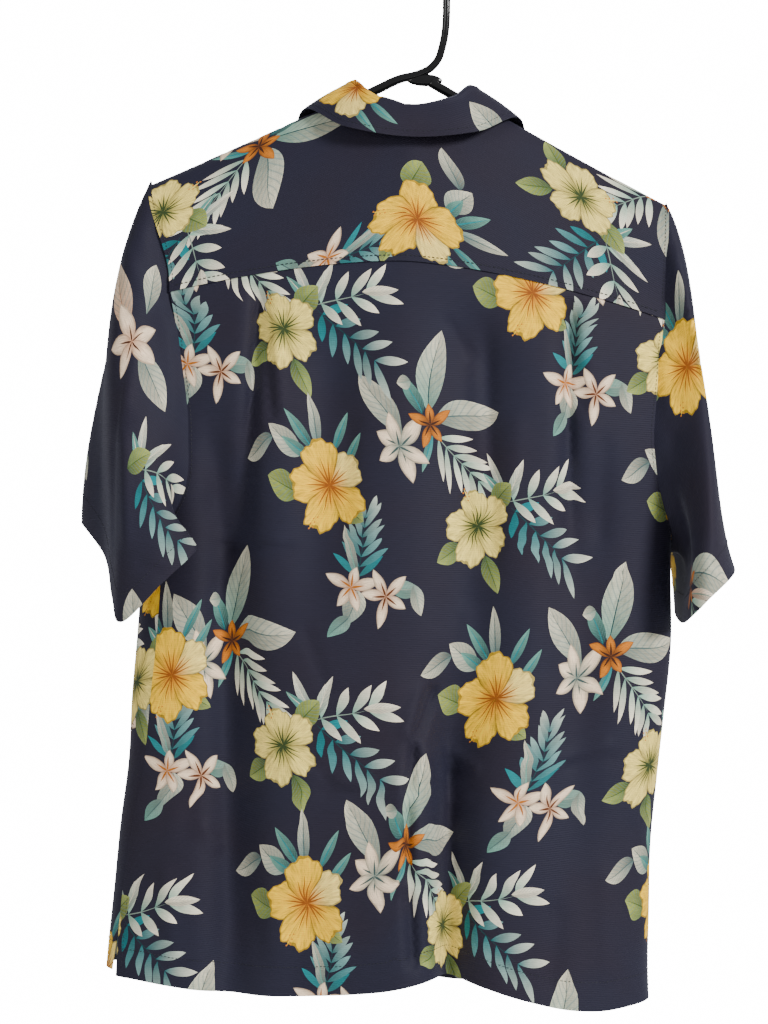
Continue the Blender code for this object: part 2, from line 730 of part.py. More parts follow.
back_points = back_grid()
yoke_points = yoke_grid()
front_points = {side: front_grid(side, back_points) for side in (LEFT, RIGHT)}
cloth_wall("back", back_points, cloth)
cloth_wall("yoke", yoke_points, cloth)
for side, name in ((LEFT, "left"), (RIGHT, "right")):
    cloth_wall(f"front_{name}", front_points[side], cloth)
    loop = armhole_loop(side, yoke_points, back_points, front_points[side])
    cloth_wall(f"sleeve_{name}", sleeve_grid(side, loop), cloth, closed=True)
    cloth_wall(f"lapel_{name}", lapel_grid(side), cloth)
cloth_wall("collar", collar_grid(), cloth)
make_hanger(plastic)
make_buttons(shell)
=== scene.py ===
"""A hawaiian shirt hung on a black tube hanger, shown from behind.

Metres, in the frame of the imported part: +X is the wearer's left and +Y the
wearer's back. Each cloth piece is cut out flat along its edges and its print,
and is then laid on its form. Flat cloth is measured across to the right and up,
as seen from outside.
"""

import math

import bmesh
import bpy
import numpy as np
from mathutils import Matrix, Vector
from mathutils.geometry import delaunay_2d_cdt


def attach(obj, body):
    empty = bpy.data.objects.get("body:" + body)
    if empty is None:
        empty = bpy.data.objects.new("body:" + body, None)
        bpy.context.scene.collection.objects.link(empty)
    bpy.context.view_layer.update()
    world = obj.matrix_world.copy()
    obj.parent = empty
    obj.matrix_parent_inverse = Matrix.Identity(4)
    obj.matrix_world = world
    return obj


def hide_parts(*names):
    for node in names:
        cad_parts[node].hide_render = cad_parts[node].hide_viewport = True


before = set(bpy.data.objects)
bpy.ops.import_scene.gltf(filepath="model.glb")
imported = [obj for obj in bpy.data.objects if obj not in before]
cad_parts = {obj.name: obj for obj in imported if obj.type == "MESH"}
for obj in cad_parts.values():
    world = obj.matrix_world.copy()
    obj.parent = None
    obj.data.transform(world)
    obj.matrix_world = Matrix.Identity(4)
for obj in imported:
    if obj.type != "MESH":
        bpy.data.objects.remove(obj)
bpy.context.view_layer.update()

BACK, FRONT = 1, -1
LEFT, RIGHT = 1, -1

# Cloth
CLOTH = 0.0009
WALL = 0.0014
SEAM_GAP = 0.0006
LAYER_GAP = 0.0005
TUCK = 0.004
TUCK_SINK = 0.0011
LAPPED = 0.0009

# Hanger
HOOK_RADIUS = 0.025
ROD_RADIUS = 0.0032
ARM_RADIUS = 0.0039
APEX_HEIGHT = -0.0925
ARM_SLOPE = 0.54
ARM_BOW = 0.16
ARM_REACH = 0.196
BAR_HEIGHT = -0.229
CORNER_RADIUS = 0.014
BAR_SIDES = 20
HOOK_ENDS = (-13, 180)
HOOK_STEM = ((-0.0232, -0.0690), (-0.0205, -0.0785), (-0.0140, -0.0868), (-0.0050, -0.0918))
WEB_SIZE, WEB_PLACE = (0.0150, ARM_RADIUS * 0.80, 0.0052), (-0.0095, 0, -0.0968)

# Body
SHOULDER_ROUND = 0.0062
BACK_DEPTH = 0.098
FRONT_DEPTH = 0.092
SECTION_POWER = 2.4
YOKE_SEAM_HEIGHT = -0.2515
YOKE_SEAM_DIP = 0.033
YOKE_FRONT_REACH = 0.036
FRONT_TOP_HEIGHT = -0.17
UNDERARM_HEIGHT = -0.485
VENT_TOP_HEIGHT = -0.775
HEM_HEIGHT = -0.85
HALF_SHOULDER = 0.2165

# Neck, collar and lapels
NECK_HALF_WIDTH = 0.075
NECK_BACK_DROP = 0.047
NECK_BACK_HALF = NECK_HALF_WIDTH * 0.955
NECK_CORNER_REACH = 0.16 * 0.038
BREAK_HEIGHT = -0.262
LAP = 0.013
LAPEL_ROLL = 0.0040
FOLD_ROUND = 0.0026
COLLAR_END = 0.062

# Buttons
BUTTON_RADIUS = 0.0058
BUTTON_THICKNESS = 0.0024
BUTTON_STAND = 0.0005
BUTTON_HEIGHTS = (-0.276, -0.372, -0.468, -0.564, -0.660)
HOLE_SET, HOLE_RADIUS, BUTTON_THREAD = 0.0012, 0.0006, 0.00045
# shares of the radius and of half the thickness, from the middle round the rim
BUTTON_PROFILE = (
    (0, 0.62),
    (0.58, 0.62),
    (0.70, 0.78),
    (0.84, 1.0),
    (0.95, 0.85),
    (1.0, 0.3),
    (0.97, -0.5),
    (0.86, -0.95),
    (0, -1.0),
)

# height, middle across, half width
SECTIONS = (
    (-0.200, -0.003, 0.2380),
    (-0.280, -0.004, 0.2340),
    (-0.340, -0.006, 0.2285),
    (-0.410, -0.0075, 0.2240),
    (-0.485, -0.0100, 0.2200),
    (-0.560, -0.0110, 0.2220),
    (-0.620, -0.0078, 0.2213),
    (-0.670, -0.0058, 0.2198),
    (-0.725, -0.0020, 0.2205),
    (-0.780, -0.0010, 0.2225),
    (-0.830, 0.0000, 0.2245),
    (-0.870, -0.0010, 0.2270),
)

# height, then the angle round the section at which a panel ends at the armhole,
# in degrees from the side towards the back: left back, right back, left front,
# right front
ARMHOLE = (
    (-0.200, 23.5, 24.4, -23.5, -24.4),
    (-0.240, 30.0, 23.0, -29.0, -30.0),
    (-0.281, 35.0, 27.0, -32.0, -36.0),
    (-0.340, 38.0, 27.5, -33.0, -40.0),
    (-0.400, 40.0, 27.0, -30.0, -39.0),
    (-0.450, 37.0, 16.0, -6.0, -27.0),
    (-0.485, 26.0, -6.0, 26.0, -6.0),
)

# height, left and right side seam, in the same degrees
SIDE_SEAM = (
    (-0.485, 26.0, -6.0),
    (-0.560, 26.5, -6.0),
    (-0.650, 25.0, -6.0),
    (-0.720, 21.5, -5.0),
    (-0.775, 18.5, -4.0),
    (-0.870, 17.5, -3.0),
)
VENT_BACK_TURN = 2.0
VENT_FRONT_TURN = -7.0

# across, height of the hem
BACK_HEM = (
    (-0.232, -0.850),
    (-0.210, -0.853),
    (-0.185, -0.856),
    (-0.160, -0.855),
    (-0.119, -0.847),
    (-0.085, -0.838),
    (-0.050, -0.832),
    (-0.022, -0.833),
    (0.010, -0.843),
    (0.045, -0.849),
    (0.125, -0.852),
    (0.200, -0.847),
)
FRONT_HEM = (
    (-0.232, -0.848),
    (-0.120, -0.856),
    (0.000, -0.852),
    (0.120, -0.856),
    (0.228, -0.842),
)

# Troughs between the soft folds: across at top, across at foot, drop below the
# panel's top line where it starts, is full, begins to fade and ends, depth, half
# width, and the lip that leans over it, positive when the cloth on its +X side
# leans towards -X
BACK_FOLDS = (
    (0.121, 0.128, 0.004, 0.026, 0.070, 0.260, 0.012, 0.013, 0.006),
    (-0.139, -0.146, 0.004, 0.026, 0.070, 0.300, 0.012, 0.014, -0.006),
    (0.150, 0.116, 0.090, 0.210, 0.520, 0.680, 0.026, 0.036, 0.012),
    (0.056, 0.062, 0.020, 0.090, 0.190, 0.350, 0.013, 0.034, 0.000),
    (-0.058, -0.066, 0.010, 0.080, 0.340, 0.450, 0.017, 0.036, 0.000),
    (-0.040, -0.056, 0.300, 0.440, 0.700, 0.800, 0.036, 0.037, 0.021),
    (-0.160, -0.150, 0.110, 0.190, 0.360, 0.560, 0.010, 0.030, 0.000),
    (0.060, 0.066, 0.440, 0.550, 0.700, 0.800, 0.009, 0.036, 0.000),
)
FRONT_FOLDS = (
    (0.135, 0.150, 0.050, 0.190, 0.600, 0.720, 0.016, 0.034, 0.006),
    (0.070, 0.062, 0.220, 0.360, 0.680, 0.750, 0.012, 0.032, 0.000),
    (-0.132, -0.140, 0.050, 0.180, 0.580, 0.720, 0.017, 0.036, -0.008),
    (-0.072, -0.060, 0.250, 0.400, 0.680, 0.750, 0.013, 0.030, 0.000),
)

# How a sleeve leaves the shoulder, outwards and down, and how much further out it
# falls at the cuff.
SLEEVE_WAY = {LEFT: (0.40, -0.90, -0.15), RIGHT: (0.35, -0.65, 0.30)}

# share round the cuff from its top over the back, across, depth, height
CUFF_LEFT = (
    (0.00, 0.2400, 0.012, -0.502),
    (0.10, 0.2280, 0.050, -0.535),
    (0.22, 0.2180, 0.073, -0.555),
    (0.36, 0.1850, 0.082, -0.522),
    (0.46, 0.1600, 0.069, -0.494),
    (0.54, 0.1900, 0.055, -0.512),
    (0.63, 0.2150, 0.034, -0.527),
    (0.72, 0.2190, -0.008, -0.530),
    (0.82, 0.2290, -0.042, -0.512),
    (0.92, 0.2640, -0.026, -0.477),
)
CUFF_RIGHT = (
    (0.00, -0.2810, 0.004, -0.490),
    (0.12, -0.2770, 0.046, -0.497),
    (0.25, -0.2560, 0.078, -0.515),
    (0.36, -0.2440, 0.066, -0.530),
    (0.50, -0.2420, 0.000, -0.540),
    (0.64, -0.2440, -0.066, -0.529),
    (0.75, -0.2580, -0.078, -0.514),
    (0.88, -0.2780, -0.044, -0.495),
)

# share from the middle of the back to the front end, then the fold and the
# leaf's edge, each as across, depth, height
COLLAR = (
    (0.00, (0.000, 0.0310, -0.1215), (0.000, 0.0390, -0.1500)),
    (0.30, (0.034, 0.0255, -0.1130), (0.055, 0.0360, -0.1430)),
    (0.56, (0.052, 0.0020, -0.1005), (0.0905, 0.0020, -0.1260)),
    (0.78, (0.057, -0.0230, -0.1290), (0.0985, -0.0255, -0.1570)),
    (1.00, (0.056, -0.0370, -0.1730), (0.1010, -0.0360, -0.1900)),
)

# How finely the forms are worked out, and the cloth is cut
ROW_SAMPLES = 300
EDGE_STEP = 0.004
CLOTH_STEP = 0.0055
SEAM_LAP = 0.0008

# The net that a sleeve's flat cut is found with: its mesh and least link, its
# rounds, the pull of its longer links, how much its knots are evened out in the
# end, at first and near the seam, and how much speed they keep
NET_ROWS, NET_COLUMNS, NET_LEAST = 4, 3, 0.003
NET_START, NET_ROUNDS = 700, 1500
NET_LONG_PULL, NET_KEEP = 0.35, 0.9
NET_EVEN, NET_EVEN_EARLY, NET_EVEN_SEAM = 0.006, 0.19, 0.05
MM = 0.001

# Sewing: how far each line of stitches lies from its edge, the gap between stitches,
# and the pitch and thickness of each thread
YOKE_STITCH, EDGE_STITCH, VENT_STITCH = 0.0038, 0.0028, 0.007
HEM_DEPTH, CUFF_DEPTH = 0.0235, 0.022
STITCH_GAP = 0.0010
EDGE_THREAD = (0.0034, 0.0005)
YOKE_THREAD = (0.0039, 0.0008)

# Which way round each grid's rows and columns make the outside
BACK_TURN, FRONT_TURN, SLEEVE_TURN, LAPEL_TURN, COLLAR_TURN = -1, -1, 1, 1, -1

# Print: the repeat, and where each motif, in the order of MOTIFS, falls on each
# piece: across and up from the piece's own zero, in metres, and a turn of its own
SQUEEZE = 0.88
REPEAT_ACROSS = 0.322
REPEAT_UP = 0.337
MOTIF_REACH = 0.13
PRINT_ORDER = (2, 3, 1, 4, 0, 5, 6, 7)
PETAL_RUFFLE = 0.04
THREADS_PER_METRE = 1500
BACK_PRINT = (
    (
        (-0.087, -0.439), (0.066, -0.609), (-0.091, -0.779), (0.093, -0.274), (-0.223, -0.599),
        (0.243, -0.444), (0.258, -0.772),
    ),
    (
        (0.041, -0.468), (-0.114, -0.312), (-0.119, -0.651), (0.041, -0.796), (0.211, -0.659),
        (0.218, -0.322), (-0.286, -0.819),
    ),
    (
        (0.002, -0.386), (-0.172, -0.572), (0.157, -0.57), (-0.012, -0.733), (-0.187, -0.912),
        (0.145, -0.905), (-0.165, -0.235), (0.171, -0.233),
    ),
    (
        (0.141, -0.352), (-0.052, -0.524), (0.118, -0.692), (-0.218, -0.68), (-0.192, -0.346),
        (-0.065, -0.861),
    ),
)
YOKE_PRINT = (
    ((0.008, -0.137), (-0.04, 0.06), (0.215, -0.185)),
    ((0.1425, -0.04), (-0.202, -0.037)),
    ((-0.125, -0.015), (0.21, 0.004)),
    ((-0.066, -0.156), (0.11, 0.07)),
)

# How far the print is turned on the back, and on the yoke and collar
BACK_PRINT_TURN, CROSS_TURN = -1.5, -90.0
FRONT_ORIGINS = {
    LEFT: ((0.125, -0.700), (0.274, -0.622), (0.216, -0.545), (0.090, -0.480)),
    RIGHT: ((-0.130, -0.640), (-0.010, -0.680), (-0.060, -0.600), (-0.250, -0.560)),
}
LAPEL_ORIGINS = ((0.040, 0.030), (-0.030, 0.090), (0.060, 0.120), (0.110, 0.060))
SLEEVE_PRINT = {
    LEFT: (
        ((-0.150, 0.150, -10), (-0.195, -0.005, -5)),
        ((-0.215, 0.070, -10),),
        (),
        ((-0.090, 0.072, 0),),
        ((0.082, 0.057, -6),),
        ((0.121, -0.058, -84),),
        ((0.052, 0.166, 20),),
    ),
    RIGHT: (
        ((-0.048, 0.166, -24), (0.165, 0.050, 20)),
        ((0.105, 0.150, 25),),
        (),
        ((0.050, 0.245, 20),),
        (),
        (),
        (),
        ((-0.172, 0.048, -44),),
    ),
}
COLLAR_PRINT = (((-0.072, -0.004),), (), (), ((0.170, 0.030),), (), ((0.066, -0.056),))
# Ground tones: blue for lit cloth and plum for the purple cast of cloth in shade. The print's ground mixes
# them in random patches, which is painted shade.
GROUND_LIT_BLUE = (0.0092, 0.0096, 0.0262)
GROUND_SHADE_PLUM = (0.0128, 0.0080, 0.0190)
GROUND = (0.0105, 0.0082, 0.0215)
REVERSE = np.array((0.040, 0.038, 0.055))

# Creases in millimetres: across and height of both ends, how far it stands out and
# its half width
BACK_CREASES = (
    (-37, -593, -22, -643, -7, 5),
    (-22, -639, -20, -687, -8, 4.5),
    (-19, -683, -22, -761, -8, 4.5),
    (-22, -755, -29, -828, -8, 5),
    (-30, -593, -14, -643, 3, 7),
    (-12, -655, -14, -767, 3, 7),
    (-30, -293, -63, -335, -1.6, 5),
    (-67, -285, -83, -524, -3, 7),
    (-58, -301, -72, -493, 2, 8),
    (151, -491, 76, -490, -2.2, 4),
    (151, -484, 84, -484, 1.5, 5),
    (-25, -655, -52, -647, 2.2, 4.5),
    (-49, -647, -79, -667, 2, 5),
    (-28, -679, -67, -663, -2, 5),
    (-37, -696, -73, -685, 1.6, 5),
    (91, -669, 46, -670, 2, 4.5),
    (52, -670, -14, -688, 2.2, 5),
    (60, -687, -12, -681, -2, 5),
    (77, -653, 36, -681, -1.6, 5),
    (150, -713, 131, -741, 1.8, 5),
    (-136, -654, -188, -637, 2, 5),
    (-139, -662, -195, -648, -1.6, 5),
    (114, -292, 103, -396, -3, 4.5),
    (106, -292, 96, -388, 2, 5),
    (-137, -290, -152, -378, -3, 5),
    (-129, -291, -143, -386, 2, 5),
    (73, -547, 47, -610, -1.6, 6),
    (39, -369, 43, -498, -2, 8),
    (-95, -364, -94, -492, 1.8, 9),
    (-168, -377, -168, -489, -2, 8),
    (134, -389, 135, -485, 2, 9),
    (143, -502, 147, -614, -2.5, 8),
    (-133, -490, -127, -603, -1.8, 9),
    (-62, -525, -58, -597, 1.8, 8),
    (105, -756, 92, -840, -2, 9),
    (41, -746, 29, -841, 1.8, 9),
    (-79, -749, -74, -829, 2, 9),
    (-143, -762, -141, -850, -2.2, 9),
    (-182, -729, -188, -840, 2, 9),
    (177, -743, 166, -835, 2.2, 8),
    (157, -662, 160, -742, -2, 8),
)
FRONT_CREASES = (
    (130, -252, 114, -372, -3, 8),
    (98, -262, 86, -412, 2.2, 9),
    (66, -330, 61, -505, -2, 9),
    (141, -430, 124, -562, 2.2, 8),
    (88, -560, 94, -706, -2.4, 9),
    (126, -641, 118, -802, 2.2, 9),
    (58, -690, 53, -838, 1.8, 8),
    (148, -602, 106, -626, -1.6, 5),
    (-122, -250, -108, -366, -2.8, 8),
    (-90, -268, -84, -396, 2.2, 9),
    (-60, -344, -64, -476, 2, 9),
    (-138, -404, -130, -520, -2.4, 9),
    (-102, -468, -97, -642, 2, 9),
    (-146, -590, -136, -744, 2.4, 8),
    (-72, -622, -78, -790, -2.2, 9),
    (-112, -702, -108, -842, -2, 9),
    (-50, -566, -90, -588, 1.6, 5),
)
SLEEVE_CREASES = {
    LEFT: (
        (238, -242, 210, -291, 2, 6),
        (212, -221, 187, -315, -3, 6),
        (217, -316, 224, -390, 3, 7),
        (224, -390, 216, -506, 4, 7),
        (230, -399, 222, -506, -3, 6),
        (197, -290, 181, -397, 2.2, 6),
        (248, -358, 248, -457, -2, 7),
        (209, -505, 180, -517, -1.5, 5),
    ),
    RIGHT: (
        (-192, -208, -212, -299, -3, 6),
        (-219, -224, -232, -306, 2.5, 7),
        (-239, -355, -262, -486, 2.2, 8),
        (-222, -372, -244, -487, -2.4, 7),
        (-244, -272, -261, -371, -1.6, 7),
        (-212, -307, -222, -372, 2, 6),
    ),
}

# The room
FLOOR_HEIGHT, FLOOR_RADIUS = -1.7, 2.6
ROOM_LIGHT, BACKDROP_LIGHT = 0.39, 16.0
LAMP_AIM = Vector((0, 0, -0.5))
LAMPS = (
    ("key light", (-2.3, 2.1, 1.1), 0.9, 140.0),
    ("fill light", (2.2, 2.6, 0.0), 1.6, 35.0),
    ("front light", (-0.6, -2.6, 0.8), 1.6, 40.0),
)

# The camera looks along -Y at a hanger that leans by a small angle
PIXELS_PER_METRE = 1200.0
FRAME_HEIGHT = 1024.0
CAMERA_DISTANCE = 2.1
SENSOR_HEIGHT = 36.0
FRAME_MIDDLE = (0.028, -0.457)
HANG_TILT = 2.3


# Forms of the cloth, in the same sizes and formulas as the part


def smooth_table(values, rows, column):
    """Reads a column of rows at values, on a smooth curve through the rows."""
    table = sorted((row[0], row[column]) for row in rows)
    xs, ys = (np.array(part) for part in zip(*table))
    slopes = np.gradient(ys, xs)
    values = np.clip(values, xs[0], xs[-1])
    i = np.clip(np.searchsorted(xs, values) - 1, 0, len(xs) - 2)
    span = xs[i + 1] - xs[i]
    t = (values - xs[i]) / span
    low = ys[i] * (1 + 2 * t) * (1 - t) ** 2 + slopes[i] * span * t * (1 - t) ** 2
    high = ys[i + 1] * (3 - 2 * t) * t**2 - slopes[i + 1] * span * t**2 * (1 - t)
    return low + high


def ramp(value, start, end):
    """0 at start, 1 at end, smooth between."""
    t = np.clip((value - start) / (end - start), 0, 1)
    return t * t * (3 - 2 * t)


def unit(vectors):
    """Vectors made one long."""
    return vectors / np.maximum(np.linalg.norm(vectors, axis=-1, keepdims=True), 1e-9)


def along_line(points):
    """Length along a line of points, from its first."""
    steps = np.linalg.norm(np.diff(points, axis=0), axis=1)
    return np.concatenate([[0], np.cumsum(steps)])


def even_along(points, count):
    """Count + 1 points at even steps along a line of points."""
    lengths = along_line(points)
    places = np.linspace(0, lengths[-1], count + 1)
    return np.stack([np.interp(places, lengths, column) for column in points.T], axis=1)


def arm_height(across):
    """Height of the middle of the hanger's arm."""
    reach = np.sqrt(np.square(across) + 0.004**2) - 0.004
    return APEX_HEIGHT - ARM_SLOPE * reach + ARM_BOW * reach**2


def ridge_height(across):
    """Height of the cloth where it passes over the arm."""
    lift = (ARM_RADIUS + 0.0004 + WALL / 2) / math.cos(math.atan(ARM_SLOPE))
    return arm_height(across) + lift


def depth_at(drop, side):
    """How far the cloth stands from the hanger's plane at a drop below the ridge."""
    full = BACK_DEPTH if side == BACK else FRONT_DEPTH
    drop = np.maximum(drop, 0)
    return full * np.sqrt(1 - np.exp(-2 * SHOULDER_ROUND * drop / full**2))


def flatness(across, height, drop):
    """1 over the arm, and the section's own rounding towards the sides below it."""
    middle = smooth_table(height, SECTIONS, 1)
    half = smooth_table(height, SECTIONS, 2)
    share = np.clip(np.abs((across - middle) / half), 0, 1)
    rounding = (1 - share**SECTION_POWER) ** (1 / SECTION_POWER)
    return 1 + (rounding - 1) * ramp(drop, 0, 0.10)


def fold_shift(across, drop, folds):
    """(sideways, inwards) movement that the folds give to the cloth."""
    sideways = np.zeros_like(across)
    inwards = np.zeros_like(across)
    for top, foot, first, full, fall, last, depth, width, lip in folds:
        middle = top + (foot - top) * np.clip((drop - first) / (last - first), 0, 1)
        strength = ramp(drop, first, full) * ramp(drop, last, fall)
        away = (across - middle) / width
        inwards += strength * depth * np.exp(-(away**2) * 1.6)
        beside = away - np.sign(lip) * 0.85
        sideways -= strength * lip * np.exp(-(beside**2) * 1.3)
        inwards -= strength * abs(lip) * 0.45 * np.exp(-(beside**2) * 1.6)
    return sideways, inwards


def round_section(angle, height):
    """Across and depth of the section at an angle in degrees: 0 is the wearer's
    left side, 90 the back, 180 the right side and -90 or 270 the front."""
    middle = smooth_table(height, SECTIONS, 1)
    half = smooth_table(height, SECTIONS, 2)
    turn = np.radians(angle)
    along, out = np.cos(turn), np.sin(turn)
    across = middle + half * np.sign(along) * np.abs(along) ** (2 / SECTION_POWER)
    drop = ridge_height(across) - height
    rounding = np.abs(out) ** (2 / SECTION_POWER)
    factor = 1 + (rounding - 1) * ramp(drop, 0, 0.10)
    depth = np.where(out >= 0, depth_at(drop, BACK), -depth_at(drop, FRONT))
    return across, depth * factor


def edge_angle(height, side, face):
    """Angle, as in round_section, at which a panel of this face ends on this side."""
    column = {(LEFT, BACK): 1, (RIGHT, BACK): 2, (LEFT, FRONT): 3, (RIGHT, FRONT): 4}
    armhole = smooth_table(height, ARMHOLE, column[side, face])
    seam = smooth_table(height, SIDE_SEAM, 1 if side == LEFT else 2)
    opening = np.clip((VENT_TOP_HEIGHT - height) / 0.075, 0, 1)
    seam = seam + opening * (VENT_BACK_TURN if face == BACK else VENT_FRONT_TURN)
    angle = np.where(height > UNDERARM_HEIGHT, armhole, seam)
    return angle if side == LEFT else 180 - angle


def yoke_seam_height(across):
    """Height of the seam between yoke and back."""
    return YOKE_SEAM_HEIGHT - YOKE_SEAM_DIP * (np.abs(across) / 0.2) ** 1.6


def drop_along(reach, side):
    """Drop below the ridge after reach metres of cloth from the ridge."""
    drops = np.linspace(0, 1, 400) ** 2 * 0.3
    ways = depth_at(drops, side)
    lengths = np.concatenate([[0], np.cumsum(np.hypot(np.diff(drops), np.diff(ways)))])
    return np.interp(reach, lengths, drops)


def reach_of(drop, side):
    """Metres of cloth from the ridge to a drop below it."""
    reaches = np.linspace(0, 0.3, 600)
    return np.interp(drop, drop_along(reaches, side), reaches)


def neck_edge(reach):
    """Half width of the neck at a reach, a little less behind the ridge."""
    return NECK_HALF_WIDTH - 0.0018 * ramp(reach, 0, 0.006)


def neck_drop(across):
    """Drop of the neck seam below the ridge line on the back half of the neck."""
    share = np.clip(np.abs(across) / NECK_HALF_WIDTH, 0, 1)
    return NECK_BACK_DROP * (1 - share**2.2)


def back_row(share):
    """Points of the back panel's row, from the right edge to the left."""
    s = np.linspace(0, 1, ROW_SAMPLES)
    height = np.full(ROW_SAMPLES, YOKE_SEAM_HEIGHT + (HEM_HEIGHT - YOKE_SEAM_HEIGHT) * share)
    for _ in range(6):
        right, left = edge_angle(height, RIGHT, BACK), edge_angle(height, LEFT, BACK)
        across, depth = round_section(right + (left - right) * s, height)
        top, foot = yoke_seam_height(across), smooth_table(across, BACK_HEM, 1)
        height = top - SEAM_GAP / 2 + (foot - top) * share
    calm = ramp(s, 0, 0.07) * ramp(s, 1, 0.93)
    sideways, inwards = fold_shift(across, top - height, BACK_FOLDS)
    return np.stack([across + sideways * calm, depth - inwards * calm, height], axis=1)


def front_top(across, side):
    """Height of the front's top edge: the yoke's front seam, then the neck."""
    seam = ridge_height(across) - drop_along(YOKE_FRONT_REACH, FRONT)
    corner = ridge_height(NECK_HALF_WIDTH) - drop_along(YOKE_FRONT_REACH, FRONT)
    out = across * side / NECK_HALF_WIDTH
    roll = BREAK_HEIGHT + (corner - BREAK_HEIGHT) * np.clip(out, 0, 1) ** 1.15
    return np.where(out < 1, roll, seam)


def angle_across(across, middle, half):
    """Angle of the section's front half at a place across."""
    share = np.clip((across - middle) / half, -1, 1)
    along = np.sign(share) * np.abs(share) ** (SECTION_POWER / 2)
    return -np.degrees(np.arccos(along))


def front_row(share, side, start, end):
    """Points of a front's row between two shares of its width: 0 is the side edge,
    1 the line below the neck corner and 2 the centre front edge."""
    s = np.linspace(start, end, ROW_SAMPLES)
    height = np.full(ROW_SAMPLES, FRONT_TOP_HEIGHT + (HEM_HEIGHT - FRONT_TOP_HEIGHT) * share)
    for _ in range(8):
        edge = edge_angle(height, side, FRONT)
        edge = edge if side == LEFT else edge - 360
        middle = smooth_table(height, SECTIONS, 1)
        half = smooth_table(height, SECTIONS, 2)
        corner = angle_across(side * NECK_HALF_WIDTH, middle, half)
        centre = angle_across(-side * LAP, middle, half)
        outer = edge + (corner - edge) * s
        inner = corner + (centre - corner) * (s - 1)
        across, depth = round_section(np.where(s < 1, outer, inner), height)
        top, foot = front_top(across, side), smooth_table(across, FRONT_HEM, 1)
        height = top - SEAM_GAP / 2 + (foot - top) * share
    calm = ramp(s, 0, 0.25) * ramp(s, 2, 1.5) * ramp(share, 0, 0.1)
    sideways, inwards = fold_shift(across, BREAK_HEIGHT - height, FRONT_FOLDS)
    layer = side * (WALL + LAYER_GAP) / 2 * ramp(s, 1.0, 1.6)
    depth = depth + inwards * calm - layer
    return np.stack([across + sideways * calm, depth, height], axis=1)


def yoke_point(across, reach):
    """Point of the yoke at reach metres over the ridge, positive to the back."""
    behind, ahead = drop_along(np.abs(reach), BACK), drop_along(np.abs(reach), FRONT)
    drop = np.where(reach >= 0, behind, ahead)
    height = ridge_height(across) - drop
    depth = np.where(reach >= 0, depth_at(drop, BACK), -depth_at(drop, FRONT))
    return np.stack([across, depth * flatness(across, height, drop), height], axis=-1)


def yoke_ends(corners, side, reaches):
    """Where the yoke ends across at reaches over the ridge, on one side."""
    corner, far = corners[side]
    front = front_row(0, side, 0, 1)[0][0]
    tip = side * HALF_SHOULDER
    behind = tip + (corner - tip) * ramp(reaches, 0, far)
    ahead = tip + (front - tip) * ramp(-reaches, 0, YOKE_FRONT_REACH)
    return np.where(reaches >= 0, behind, ahead)


def back_corners():
    """(across, reach) at which the yoke's back seam meets each armhole."""
    row = back_row(0)
    corners = {}
    for side in (LEFT, RIGHT):
        edge = row[-1 if side == LEFT else 0]
        corners[side] = (edge[0], float(reach_of(ridge_height(edge[0]) - edge[2], BACK)))
    return corners


# A sheet is (points, flat): a grid of points of the form, and their places on the
# flat cloth. Its rows run down and its columns go round.


def lengths_along(grid, axis):
    """Length along each row or column of a grid of points, from its first."""
    steps = np.linalg.norm(np.diff(grid, axis=axis), axis=2)
    return np.insert(np.cumsum(steps, axis=axis), 0, 0, axis=axis)


def down_and_round(points, turn):
    """Flat places of a body panel: across by each row's own length from its middle,
    and up by each column's own length below the level of its top."""
    return turn * lengths_along(points[..., :2], 1), points[0, :, 2] - lengths_along(points[..., 1:], 0)


def back_sheet():
    """The back, its top tucked under the yoke."""
    shares = np.linspace(-TUCK / 0.6, 1, 210)
    points = np.stack([even_along(back_row(share), 250) for share in shares])
    points[..., 1] -= TUCK_SINK * ramp(shares, 0.002, -0.001)[:, None]
    points = crease(points, BACK_CREASES, BACK)
    across, up = down_and_round(points, -1)
    return points, np.stack([across - across[:, -1:] / 2, up], axis=2)


def front_sheet(side):
    """A front, its side tucked under the back."""
    rows = []
    shares = np.linspace(0, 1, 150)
    for share in shares:
        outer = front_row(share, side, -0.03, 1)
        inner = front_row(share, side, 1, 2)
        rows.append(even_along(np.concatenate([outer, inner[1:]]), 110))
    points = np.stack(rows)
    tuck = ramp(np.linspace(0, 1, 111), 0.025, 0.0)
    points[..., 0] -= side * TUCK_SINK * tuck
    points = crease(points, FRONT_CREASES, FRONT)
    across, up = down_and_round(points, -side)
    return points, np.stack([across - across[:, -1:], up], axis=2)


def armhole_line(side, corners, back, front):
    """The line that a sleeve is set on, from the underarm up the front, over the
    shoulder and down the back, and how far along it the ridge is."""
    edge = -1 if side == LEFT else 0
    top = int(np.argmin(abs(back[:, edge, 2] - back_row(0)[edge][2])))
    under = int(np.argmin(abs(back[:, edge, 2] - UNDERARM_HEIGHT)))
    behind = back[top + 1 : under, edge]
    front_edge = np.stack([front_row(share, side, 0, 1)[0] for share in np.linspace(0, 0.52, 60)])
    ahead = front_edge[front_edge[:, 2] > UNDERARM_HEIGHT][::-1]
    reaches = np.linspace(-YOKE_FRONT_REACH, corners[side][1], 50)[1:-1]
    over = yoke_point(yoke_ends(corners, side, reaches), reaches)
    line = np.concatenate([ahead, over, behind, ahead[:1]])
    ridge = len(ahead) + int(np.argmin(abs(reaches)))
    return line, along_line(line)[ridge] / along_line(line)[-1]


def round_table(shares, rows):
    """Points of a closed loop at shares round it, from a table of its points."""
    first, last = rows[0], rows[-1]
    before = (last[0] - 1, *last[1:])
    after = (1 + rows[1][0], *rows[1][1:])
    looped = [before, *rows, (1.0, *first[1:]), after]
    return np.stack([smooth_table(shares, looped, column) for column in (1, 2, 3)], axis=1)


